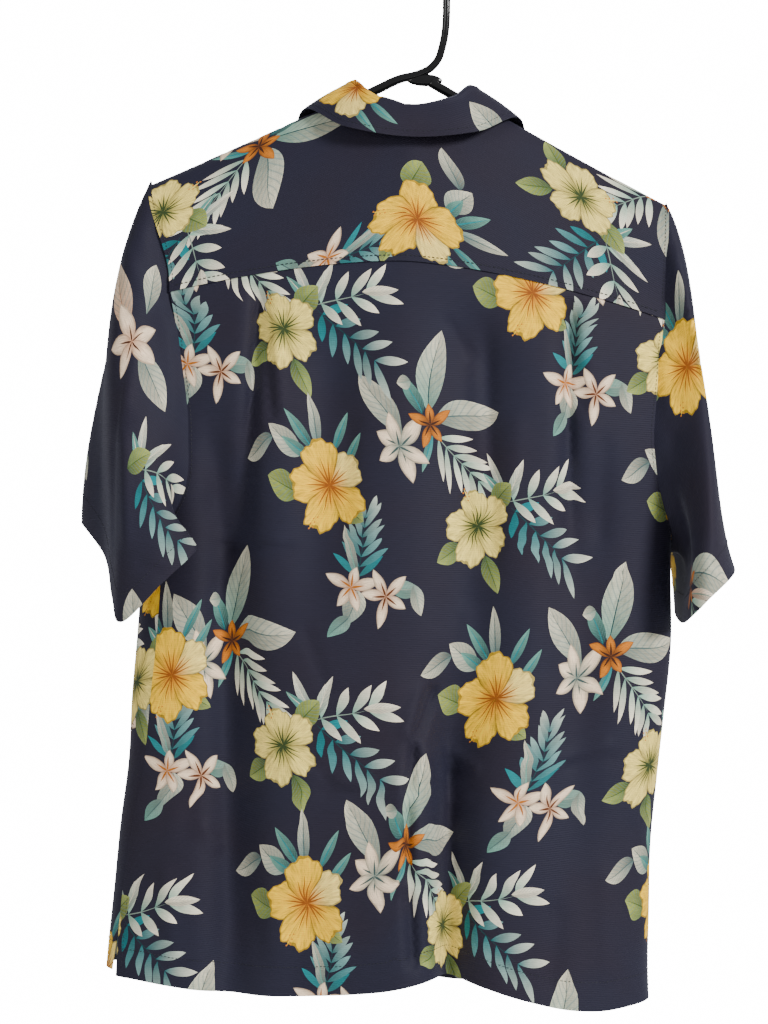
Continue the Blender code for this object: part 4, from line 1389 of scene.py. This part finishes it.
def print_colours(mesh, places, shapes):
    """Colours, veins and motif places for every corner."""
    corners, faces = corner_data(mesh)
    owners = np.empty(len(mesh.polygons), int)
    mesh.attributes["shape"].data.foreach_get("value", owners)
    owner = owners[faces]
    flat = places[corners, :2]
    ink = np.zeros((len(corners), 4))
    ink[:, :3] = GROUND
    motif = np.zeros((len(corners), 2))
    order = np.argsort(owner, kind="stable")
    starts = np.searchsorted(owner[order], np.arange(1, len(shapes) + 2))
    for number, (_, base, tip, place, veins) in enumerate(shapes):
        chosen = order[starts[number] : starts[number + 1]]
        if not len(chosen):
            continue
        share, across = place(flat[chosen])
        reach = 1.7 if veins == PETAL_STREAKS else 1.1
        mix = np.clip(share * reach, 0, 1)[:, None]
        ink[chosen, :3] = base * (1 - mix) + tip * mix
        ink[chosen, 3] = 0.25 + 0.5 * veins
        motif[chosen, 0] = share
        motif[chosen, 1] = np.clip(across, -1.5, 1.5)
    reverse = places[corners, 2] < 0.5
    ink[reverse, :3] = ink[reverse, :3] * 0.45 + REVERSE * 0.55
    mesh.attributes.new("ink", "FLOAT_COLOR", "CORNER").data.foreach_set("color", ink.ravel())
    mesh.uv_layers.new(name="cloth").data.foreach_set("uv", flat.ravel())
    mesh.uv_layers.new(name="motif").data.foreach_set("uv", motif.ravel())
    mesh.attributes.remove(mesh.attributes["shape"])


def smooth_both_sides(mesh, places, normals):
    """Corner normals from the form, turned round on the reverse, flat on the rim."""
    mesh.update()
    corners, faces = corner_data(mesh)
    layer = places[corners, 2]
    total = np.bincount(faces)
    raised = np.bincount(faces, layer)
    face_normals = np.empty(len(mesh.polygons) * 3)
    mesh.polygons.foreach_get("normal", face_normals)
    given = face_normals.reshape(-1, 3)[faces]
    upper, lower = (raised == total)[faces], (raised == 0)[faces]
    given[upper] = normals[corners[upper]]
    given[lower] = -normals[corners[lower]]
    mesh.shade_smooth()
    mesh.normals_split_custom_set(given.tolist())


# Materials


def feed(tree, socket, value):
    """Gives a socket a value, or the link that brings one."""
    value = getattr(value, "socket", value)
    if isinstance(value, bpy.types.NodeSocket):
        tree.links.new(value, socket)
    elif value is not None:
        socket.default_value = value


class Value:
    """A number in a shader, whose arithmetic is written out as math nodes."""

    def __init__(self, tree, socket):
        self.tree, self.socket = tree, socket

    def worked(self, operation, other=None, clamp=False):
        made = node(self.tree, "Math", operation=operation, use_clamp=clamp)
        for socket, value in zip(made.inputs, (self, other)):
            feed(self.tree, socket, value)
        return Value(self.tree, made.outputs[0])

    def sine(self):
        return self.worked("SINE")

    def __abs__(self):
        return self.worked("ABSOLUTE")

    def __add__(self, other):
        return self.worked("ADD", other)

    def __sub__(self, other):
        return self.worked("SUBTRACT", other)

    def __mul__(self, other):
        return self.worked("MULTIPLY", other)

    def __pow__(self, other):
        return self.worked("POWER", other)

    def __gt__(self, other):
        return self.worked("GREATER_THAN", other)

    def __lt__(self, other):
        return self.worked("LESS_THAN", other)


def node(tree, kind, **settings):
    """A shader node. Each setting is a property, or an input's value or link."""
    made = tree.nodes.new("ShaderNode" + kind)
    for key, value in settings.items():
        if key in made.inputs:
            feed(tree, made.inputs[key], value)
        else:
            setattr(made, key, value)
    return made


def new_group(name, inputs, outputs):
    """A node group, with its inputs (name, kind, default) and outputs."""
    tree = bpy.data.node_groups.new(name, "ShaderNodeTree")
    for label, kind, value in inputs:
        socket = tree.interface.new_socket(label, in_out="INPUT", socket_type="NodeSocket" + kind)
        if value is not None:
            socket.default_value = value
    for label, kind in outputs:
        tree.interface.new_socket(label, in_out="OUTPUT", socket_type="NodeSocket" + kind)
    return tree, tree.nodes.new("NodeGroupInput").outputs, tree.nodes.new("NodeGroupOutput").inputs


def mix_colour(tree, factor, first, second, blend="MIX"):
    """Two colours mixed by a factor."""
    made = node(tree, "Mix", data_type="RGBA", blend_type=blend)
    for number, value in ((0, factor), (6, first), (7, second)):
        feed(tree, made.inputs[number], value)
    return made.outputs[2]


def grey(tree, value):
    """A colour of three equal parts."""
    made = node(tree, "CombineColor")
    for socket in made.inputs:
        feed(tree, socket, value)
    return made.outputs[0]


def parts(tree, vector):
    """The first two parts of a vector."""
    split = node(tree, "SeparateXYZ", Vector=vector)
    return Value(tree, split.outputs[0]), Value(tree, split.outputs[1])


def noise(tree, place, scale, detail, roughness=0.5, distortion=0.0):
    """Noise at places, and on the object itself where place is None."""
    place = place or node(tree, "TexCoord").outputs["Object"]
    made = node(tree, "TexNoise", Vector=place, Scale=scale, Detail=detail, Roughness=roughness)
    made.inputs["Distortion"].default_value = distortion
    return Value(tree, made.outputs["Fac"])


def stretched(tree, place, scale):
    """Places stretched along their axes."""
    return node(tree, "Mapping", Vector=place, Scale=scale).outputs[0]


def crepe_group():
    """Height and tone of the crepe's cross ribs and slubs, from flat places."""
    tree, given, out = new_group(
        "crepe weave",
        [("Flat", "Vector", None), ("Ribs per metre", "Float", 560.0)],
        [("Height", "Float"), ("Tone", "Float")],
    )
    across, up = parts(tree, given["Flat"])
    slub = noise(tree, stretched(tree, given["Flat"], (60.0, 420.0, 1.0)), 1.0, 3.0, 0.6)
    turns = up * Value(tree, given["Ribs per metre"])
    rib = (turns * (2 * math.pi) + slub * 2.2).sine()
    threads = (across * (2 * math.pi * THREADS_PER_METRE)).sine()
    feed(tree, out["Height"], rib * 0.5 + threads * 0.15 + slub * 0.8)
    feed(tree, out["Tone"], rib * 0.035 + 1.0 + (slub - 0.5) * 0.22)
    return tree


def ink_group():
    """Colour of the print: its ink with leaf veins and petal streaks drawn in, and the ground with random
    patches of painted shade.
    """
    tree, given, out = new_group(
        "printed ink",
        [("Ink", "Color", None), ("Kind", "Float", 0.0), ("Motif", "Vector", None), ("Flat", "Vector", None)],
        [("Colour", "Color")],
    )
    share, across = parts(tree, given["Motif"])
    kind = Value(tree, given["Kind"])
    is_leaf, is_petal = (kind > 0.40) * (kind < 0.60), kind > 0.60
    vein = abs(((share * 9.0 - abs(across) * 2.2) * math.pi).sine()) ** 14.0 * is_leaf * 0.55
    colour = mix_colour(tree, vein, given["Ink"], (0.10, 0.20, 0.21, 1.0))
    streak = noise(tree, stretched(tree, given["Motif"], (1.6, 5.5, 1.0)), 1.6, 4.0, 0.65)
    wash = noise(tree, given["Flat"], 140.0, 3.0, 0.6)
    edge = abs(across).worked("POWER", 4.0, clamp=True)
    light = (streak - 0.5) * 1.5 * (is_petal * 0.6 + 0.65) + 0.98
    light = light + edge * (is_petal * -0.42 + 0.10) + (wash - 0.5) * 0.5
    drawn = mix_colour(tree, 1.0, colour, grey(tree, light), "MULTIPLY")
    # Painted shade: random patches of the plum shade tint over the blue lit tone of the ground
    shade_patches = (noise(tree, given["Flat"], 9.0, 2.0) - 0.38).worked("MULTIPLY", 3.2, clamp=True)
    ground = mix_colour(tree, shade_patches, (*GROUND_LIT_BLUE, 1.0), (*GROUND_SHADE_PLUM, 1.0))
    plain = mix_colour(tree, 0.75, given["Ink"], ground)
    feed(tree, out["Colour"], mix_colour(tree, kind > 0.12, plain, drawn))
    return tree


def new_material(name, **sockets):
    """A material and its tree and shader, with the shader's sockets given by name."""
    made = bpy.data.materials.new(name)
    made.use_nodes = True
    shader = made.node_tree.nodes["Principled BSDF"]
    for label, value in sockets.items():
        shader.inputs[label.replace("_", " ")].default_value = value
    return made, made.node_tree, shader


def surface(tree, shader, colour, height, strength, distance):
    """Gives a shader its colour and a bump."""
    feed(tree, shader.inputs["Base Color"], colour)
    bump = node(tree, "Bump", Strength=strength, Distance=distance, Height=height)
    feed(tree, shader.inputs["Normal"], bump.outputs[0])


def make_printed_crepe():
    """Cloth with the drawn print and a crepe weave."""
    made, tree, shader = new_material(
        "printed crepe",
        Roughness=0.72,
        Sheen_Weight=0.14,
        Sheen_Roughness=0.4,
        Sheen_Tint=(0.75, 0.78, 1.0, 1.0),
        Specular_IOR_Level=0.30,
    )
    flat = node(tree, "UVMap", uv_map="cloth").outputs[0]
    motif = node(tree, "UVMap", uv_map="motif").outputs[0]
    ink = node(tree, "Attribute", attribute_name="ink").outputs
    links = {"Ink": ink["Color"], "Kind": ink["Alpha"], "Motif": motif, "Flat": flat}
    drawn = node(tree, "Group", node_tree=ink_group(), **links)
    weave = node(tree, "Group", node_tree=crepe_group(), Flat=flat).outputs
    colour = mix_colour(tree, 1.0, drawn.outputs["Colour"], grey(tree, weave["Tone"]), "MULTIPLY")
    surface(tree, shader, colour, weave["Height"], 0.35, 0.00035)
    return made


def make_black_plastic():
    """Glossy black with fine scuffs."""
    made, tree, shader = new_material("black plastic", Roughness=0.15)
    scuff = noise(tree, None, 160.0, 6.0, 0.7)
    feed(tree, shader.inputs["Roughness"], scuff * 0.16 + 0.05)
    tone = mix_colour(tree, scuff, (0.003, 0.003, 0.0035, 1), (0.008, 0.008, 0.009, 1))
    surface(tree, shader, tone, noise(tree, None, 420.0, 2.0), 0.04, 0.0001)
    return made


def make_brown_shell():
    """Mottled brown button stock."""
    made, tree, shader = new_material("brown shell", Roughness=0.25, Coat_Weight=0.3)
    grain = noise(tree, None, 260.0, 5.0, 0.6, 1.5)
    spread = node(tree, "MapRange", Value=grain)
    spread.inputs["From Min"].default_value = 0.35
    spread.inputs["From Max"].default_value = 0.68
    tone = mix_colour(tree, spread.outputs[0], (0.045, 0.022, 0.012, 1), (0.26, 0.15, 0.075, 1))
    surface(tree, shader, tone, grain, 0.1, 0.0002)
    return made


def make_thread():
    """Twisted sewing thread."""
    made, tree, shader = new_material("navy thread", Roughness=0.7)
    twist = noise(tree, None, 900.0, 2.0)
    tone = mix_colour(tree, twist, (0.007, 0.007, 0.012, 1), (0.020, 0.021, 0.034, 1))
    surface(tree, shader, tone, twist, 0.3, 0.0002)
    return made


# Sewing


def join_rings(shape, rings):
    """Faces between each ring of points and the next."""
    for first, second in zip(rings, rings[1:]):
        for k in range(len(first)):
            after = (k + 1) % len(first)
            shape.faces.new((first[k], first[after], second[after], second[k]))


def stitch_tube(shape, start, end, out, thickness):
    """One stitch: a four-sided thread that dips into the cloth at both ends."""
    start, end, out = Vector(start), Vector(end), Vector(out)
    way = (end - start).normalized()
    side = way.cross(out).normalized()
    rings = []
    for share, grow, rise in ((0.0, 0.5, -0.6), (0.2, 1.0, 0.35), (0.8, 1.0, 0.35), (1.0, 0.5, -0.6)):
        middle = start.lerp(end, share) + out * thickness * rise
        half = thickness / 2 * grow
        ring = [middle + side * half, middle + out * half, middle - side * half, middle - out * half]
        rings.append([shape.verts.new(point) for point in ring])
    join_rings(shape, rings)
    shape.faces.new(rings[0][::-1])
    shape.faces.new(rings[-1])


def sew(shape, lay, line, pitch, thickness):
    """Stitches along a line of flat places, on the outside of a piece."""
    lengths = along_line(line)
    starts = np.arange(pitch / 2, lengths[-1] - pitch, pitch)
    first, second = (
        np.stack([np.interp(at, lengths, column) for column in line.T], axis=1)
        for at in (starts, starts + pitch - STITCH_GAP)
    )
    tails, normals = lay(first)
    heads = lay(second)[0]
    for tail, head, normal in zip(tails, heads, normals):
        rise = normal * (CLOTH / 2)
        stitch_tube(shape, tail + rise, head + rise, normal, thickness)


def sewing_piece(name, lines):
    """A piece of stitches along lines, each (lay, places, pitch, thickness)."""
    shape = bmesh.new()
    for line in lines:
        sew(shape, *line)
    bmesh.ops.recalc_face_normals(shape, faces=shape.faces)
    return add_piece(name, mesh_from(shape, name), navy_thread, "cloth")


def set_in(flat, side, distance, start=0.0, end=1.0):
    """A line of flat places at a distance inside one side of a grid: 0 the first
    column, 1 the last row, 2 the last column, 3 the first row."""
    edge = (flat[:, 0], flat[-1], flat[:, -1], flat[0])[side]
    inner = (flat[:, 6], flat[-7], flat[:, -7], flat[6])[side]
    line = edge + unit(inner - edge) * distance
    count = len(line) - 1
    return line[round(start * count) : round(end * count) + 1]


# The hanger and the buttons


def arc(centre, radius, start, end, count):
    """Points of an arc in the hanger's plane, angles in degrees."""
    turns = np.radians(np.linspace(start, end, count))
    across, height = centre
    return [(across + radius * math.cos(t), 0.0, height + radius * math.sin(t)) for t in turns]


def smooth_line(points, count):
    """A smooth line of count points through a few."""
    points = np.array(points)
    lengths = along_line(points)
    rows = [(length, *point) for length, point in zip(lengths, points)]
    places = np.linspace(0, lengths[-1], count)
    return np.stack([smooth_table(places, rows, column) for column in (1, 2, 3)], axis=1)


def round_bar(name, points, radii):
    """A bar of round section swept along points, its ends domed."""
    shape = bmesh.new()
    points = np.array(points)
    ways = unit(np.gradient(points, axis=0))
    out = Vector((0, 1, 0))
    rings = []
    for point, way, radius in zip(points, ways, radii):
        way = Vector(way)
        side = way.cross(out).normalized()
        turn = Matrix((side, out, way)).transposed().to_4x4()
        turn.translation = Vector(point)
        ring = bmesh.ops.create_circle(shape, segments=BAR_SIDES, radius=radius, matrix=turn)
        rings.append(ring["verts"])
    join_rings(shape, rings)
    for ring, way, sign in ((rings[0], ways[0], -1), (rings[-1], ways[-1], 1)):
        cap = shape.faces.new(ring if sign > 0 else ring[::-1])
        for grow, rise in ((0.72, 0.55), (0.35, 0.35)):
            bmesh.ops.inset_individual(shape, faces=[cap], thickness=radii[-1] * (1 - grow) * 0.6)
            bmesh.ops.translate(shape, vec=Vector(way) * sign * radii[-1] * rise * 0.5, verts=cap.verts)
    bmesh.ops.recalc_face_normals(shape, faces=shape.faces)
    mesh = mesh_from(shape, name)
    mesh.shade_smooth()
    return mesh


def make_hanger():
    """Hook, arm, bottom bar and other arm in one line, and the web at their join."""
    hook = arc((0, ROD_RADIUS - HOOK_RADIUS), HOOK_RADIUS, *HOOK_ENDS, 40)
    stem = [(across, 0.0, height) for across, height in HOOK_STEM]
    left = [(x, 0.0, float(arm_height(x))) for x in np.linspace(0.012, ARM_REACH, 12)]
    corner = (ARM_REACH - 0.002, BAR_HEIGHT + CORNER_RADIUS)
    turn_left = arc(corner, CORNER_RADIUS, 25, -90, 10)
    turn_right = arc((-corner[0], corner[1]), CORNER_RADIUS, -90, -205, 10)
    bar = [(x, 0.0, BAR_HEIGHT) for x in np.linspace(0.17, -0.17, 9)]
    right = [(-x, 0.0, float(arm_height(x))) for x in np.linspace(ARM_REACH, 0.016, 12)]
    thin = hook + stem
    thick = left + turn_left + bar + turn_right + right
    line = smooth_line(thin + thick, 460)
    start = along_line(np.array(thin + thick))[len(thin)]
    shares = ramp(along_line(line), start - 0.03, start + 0.02)
    radii = ROD_RADIUS + (ARM_RADIUS - ROD_RADIUS) * shares
    mesh = round_bar("hanger", line, radii)
    web = bmesh.new()
    bmesh.ops.create_uvsphere(web, u_segments=32, v_segments=20, radius=1)
    bmesh.ops.scale(web, vec=WEB_SIZE, verts=web.verts)
    bmesh.ops.translate(web, vec=WEB_PLACE, verts=web.verts)
    web.from_mesh(mesh)
    web.to_mesh(mesh)
    web.free()
    mesh.shade_smooth()
    add_piece("hanger_bar", mesh, black_plastic, "plastic", "hanger")


def button_face(height):
    """Depth of the left front's outside at a button."""
    drop = float(ridge_height(0.0)) - height
    face = -float(depth_at(drop, FRONT) * flatness(0.0, height, drop))
    return face - (WALL + LAYER_GAP) / 2 - WALL / 2


def make_button(number, height):
    """A dished button with a rolled rim and four holes, sewn with crossed thread."""
    shape = bmesh.new()
    half = BUTTON_THICKNESS / 2
    profile = [shape.verts.new((share * BUTTON_RADIUS, 0, rise * half)) for share, rise in BUTTON_PROFILE]
    edges = [shape.edges.new(pair) for pair in zip(profile, profile[1:])]
    turning = {"cent": (0, 0, 0), "axis": (0, 0, 1), "angle": 2 * math.pi, "steps": 48}
    bmesh.ops.spin(shape, geom=profile + edges, use_merge=True, **turning)
    bmesh.ops.remove_doubles(shape, verts=shape.verts, dist=0.00002)
    bmesh.ops.recalc_face_normals(shape, faces=shape.faces)
    body = placed(f"button_{number}_shell", mesh_from(shape, "button"))
    drill = bmesh.new()
    for across, up in ((1, 1), (1, -1), (-1, 1), (-1, -1)):
        place = Matrix.Translation((across * HOLE_SET, up * HOLE_SET, 0))
        radii = {"radius1": HOLE_RADIUS, "radius2": HOLE_RADIUS}
        bmesh.ops.create_cone(drill, cap_ends=True, segments=16, depth=0.01, matrix=place, **radii)
    cutter = placed("holes", mesh_from(drill, "holes"))
    cut = body.modifiers.new("holes", "BOOLEAN")
    cut.operation = "DIFFERENCE"
    cut.solver = "EXACT"
    cut.object = cutter
    graph = bpy.context.evaluated_depsgraph_get()
    cut_mesh = bpy.data.meshes.new_from_object(body.evaluated_get(graph))
    bpy.data.objects.remove(body)
    bpy.data.objects.remove(cutter)
    middle = button_face(height) - BUTTON_STAND - half
    turn = Matrix.Translation((0, middle, height)) @ Matrix.Rotation(math.radians(90), 4, "X")
    cut_mesh.transform(turn)
    cut_mesh.shade_smooth()
    cut_mesh.set_sharp_from_angle(angle=math.radians(40))
    add_piece(f"button_{number}_shell", cut_mesh, brown_shell, "shell", f"button_{number}")
    thread = bmesh.new()
    out = turn.to_3x3() @ Vector((0, 0, 1))
    for slant in (1, -1):
        ends = (np.array((-HOLE_SET, slant * HOLE_SET)), np.array((HOLE_SET, -slant * HOLE_SET)))
        stitch_tube(thread, *(turn @ Vector((*end, half * 0.55)) for end in ends), out, BUTTON_THREAD)
    add_piece(f"button_{number}_thread", mesh_from(thread, "button_thread"), navy_thread, "cloth")


# The shirt

printed_crepe = make_printed_crepe()
black_plastic = make_black_plastic()
brown_shell = make_brown_shell()
navy_thread = make_thread()


back = back_sheet()
lay_back = lay_on(back, BACK_TURN)
back_outline = border(back[1], EDGE_STEP)
back_piece = cloth_piece("back", back_outline, lay_back, BACK_PRINT, BACK_PRINT_TURN)

corners = back_corners()


def yoke_flat(across, reach):
    """Flat place of the yoke's cloth."""
    return np.stack([-across, -reach], axis=-1)


def lay_yoke(places):
    """The yoke over the shoulders, a little proud where it laps the panels."""

    def form(shifted):
        return yoke_point(-shifted[:, 0], -shifted[:, 1])

    step = 0.0005
    across = form(places + (step, 0)) - form(places - (step, 0))
    up = form(places + (0, step)) - form(places - (0, step))
    normals = unit(np.cross(across, up))
    points = form(places)
    across, reach = -places.T
    seam = reach_of(ridge_height(across) - yoke_seam_height(across), BACK)
    behind = ramp(reach, seam - 0.016, seam - 0.010)
    ahead = ramp(-reach, YOKE_FRONT_REACH - 0.014, YOKE_FRONT_REACH - 0.009)
    return points + normals * (LAPPED * np.maximum(behind, ahead))[:, None], normals


def yoke_outline():
    """Outline of the flat yoke: its two ends, its seams and its neck."""
    sides = {}
    for side in (LEFT, RIGHT):
        reach = np.linspace(-YOKE_FRONT_REACH - 0.001, corners[side][1] + SEAM_LAP, 60)
        sides[side] = yoke_flat(yoke_ends(corners, side, reach), reach)
    across = np.linspace(corners[LEFT][0], corners[RIGHT][0], 130)
    seam = yoke_flat(across, reach_of(ridge_height(across) - yoke_seam_height(across), BACK) + SEAM_LAP)
    neck_across = np.linspace(-NECK_BACK_HALF, NECK_BACK_HALF, 60)
    behind = yoke_flat(neck_across, reach_of(neck_drop(neck_across), BACK))
    over = np.linspace(NECK_CORNER_REACH, -YOKE_FRONT_REACH - 0.001, 24)
    left_neck, right_neck = yoke_flat(neck_edge(over), over), yoke_flat(-neck_edge(over), over)
    far, near = seam[1:-1], behind[1:-1]
    return np.concatenate([sides[LEFT], far, sides[RIGHT][::-1], right_neck[::-1], near, left_neck])


outline = yoke_outline()
yoke_piece = cloth_piece("yoke", outline, lay_yoke, YOKE_PRINT, CROSS_TURN)

across = np.linspace(corners[LEFT][0] - 0.003, corners[RIGHT][0] + 0.003, 130)
reach = reach_of(ridge_height(across) - yoke_seam_height(across), BACK) - YOKE_STITCH
sewing = [(lay_yoke, yoke_flat(across, reach), *YOKE_THREAD)]
for side in (LEFT, RIGHT):
    reach = np.linspace(corners[side][1] - 0.004, -YOKE_FRONT_REACH + 0.003, 60)
    across = yoke_ends(corners, side, reach) - side * EDGE_STITCH
    column = 0 if side == LEFT else 2
    armhole = set_in(back[1], column, EDGE_STITCH, 0.02, 0.37)
    vent = set_in(back[1], column, VENT_STITCH, 0.87, 0.99)
    sewing.append((lay_yoke, yoke_flat(across, reach), *EDGE_THREAD))
    sewing += [(lay_back, armhole, *EDGE_THREAD), (lay_back, vent, *EDGE_THREAD)]
sewing.append((lay_back, set_in(back[1], 1, HEM_DEPTH, 0.01, 0.99), *EDGE_THREAD))
sewing_piece("back_stitches", sewing)

for side, name in ((LEFT, "left"), (RIGHT, "right")):
    front = front_sheet(side)
    lay_front = lay_on(front, side * FRONT_TURN)
    front_outline = border(front[1], EDGE_STEP)
    front_piece = cloth_piece(f"front_{name}", front_outline, lay_front, repeats(FRONT_ORIGINS[side]))
    line, ridge = armhole_line(side, corners, back[0], front[0])
    sleeve = sleeve_sheet(side, line, ridge)
    lay_sleeve = lay_on(sleeve, side * SLEEVE_TURN)
    outline = border(sleeve[1], EDGE_STEP)
    sleeve_piece = cloth_piece(f"sleeve_{name}", outline, lay_sleeve, SLEEVE_PRINT[side])
    hem_line = (lay_front, set_in(front[1], 1, HEM_DEPTH, 0.01, 0.99), *EDGE_THREAD)
    cuff_line = (lay_sleeve, set_in(sleeve[1], 1, CUFF_DEPTH, 0.0, 1.0), *EDGE_THREAD)
    stitches = sewing_piece(f"{name}_stitches", [hem_line, cuff_line])
    lapel = lapel_sheet(side)
    lay_lapel = lay_on(lapel, side * LAPEL_TURN)
    outline = border(lapel[1], EDGE_STEP)
    lapel_piece = cloth_piece(f"lapel_{name}", outline, lay_lapel, repeats(LAPEL_ORIGINS))

collar = collar_sheet()
lay_collar = lay_on(collar, COLLAR_TURN)
outline = border(collar[1], EDGE_STEP)
collar_piece = cloth_piece("collar", outline, lay_collar, COLLAR_PRINT, CROSS_TURN)
collar_line = (lay_collar, set_in(collar[1], 1, EDGE_STITCH + 0.002, 0.01, 0.99), *EDGE_THREAD)
sewing_piece("collar_stitches", [collar_line])

make_hanger()
for number, height in enumerate(BUTTON_HEIGHTS, 1):
    make_button(number, height)

# The floor, the light and the camera

shape = bmesh.new()
bmesh.ops.create_circle(shape, cap_ends=True, segments=96, radius=FLOOR_RADIUS)
bmesh.ops.translate(shape, vec=(0, 0, FLOOR_HEIGHT), verts=shape.verts)
floor = placed("floor", mesh_from(shape, "floor"))
pale, _, _ = new_material("pale floor", Base_Color=(0.93, 0.93, 0.93, 1.0), Roughness=0.9)
floor.data.materials.append(pale)

world = bpy.data.worlds.new("white room")
world.use_nodes = True
background = world.node_tree.nodes["Background"]
background.inputs["Color"].default_value = (1.0, 1.0, 1.0, 1.0)
seen = Value(world.node_tree, node(world.node_tree, "LightPath").outputs["Is Camera Ray"])
feed(world.node_tree, background.inputs["Strength"], seen * (BACKDROP_LIGHT - ROOM_LIGHT) + ROOM_LIGHT)
bpy.context.scene.world = world

for name, place, size, power in LAMPS:
    lamp = bpy.data.lights.new(name, "AREA")
    lamp.shape = "DISK"
    lamp.size = size
    lamp.energy = power
    made = placed(name, lamp)
    made.location = place
    made.rotation_euler = (LAMP_AIM - Vector(place)).to_track_quat("-Z", "Y").to_euler()

lens = bpy.data.cameras.new("camera")
lens.sensor_fit = "VERTICAL"
lens.sensor_height = SENSOR_HEIGHT
lens.lens = SENSOR_HEIGHT * PIXELS_PER_METRE * CAMERA_DISTANCE / FRAME_HEIGHT
camera = placed("camera", lens)
tilt = math.radians(HANG_TILT)
across, height = FRAME_MIDDLE
camera.location = (
    across * math.cos(tilt) + height * math.sin(tilt),
    CAMERA_DISTANCE,
    height * math.cos(tilt) - across * math.sin(tilt),
)
upright = Matrix(((-1, 0, 0), (0, 0, 1), (0, 1, 0)))
camera.rotation_euler = (Matrix.Rotation(tilt, 3, "Y") @ upright).to_euler()
bpy.context.scene.camera = camera
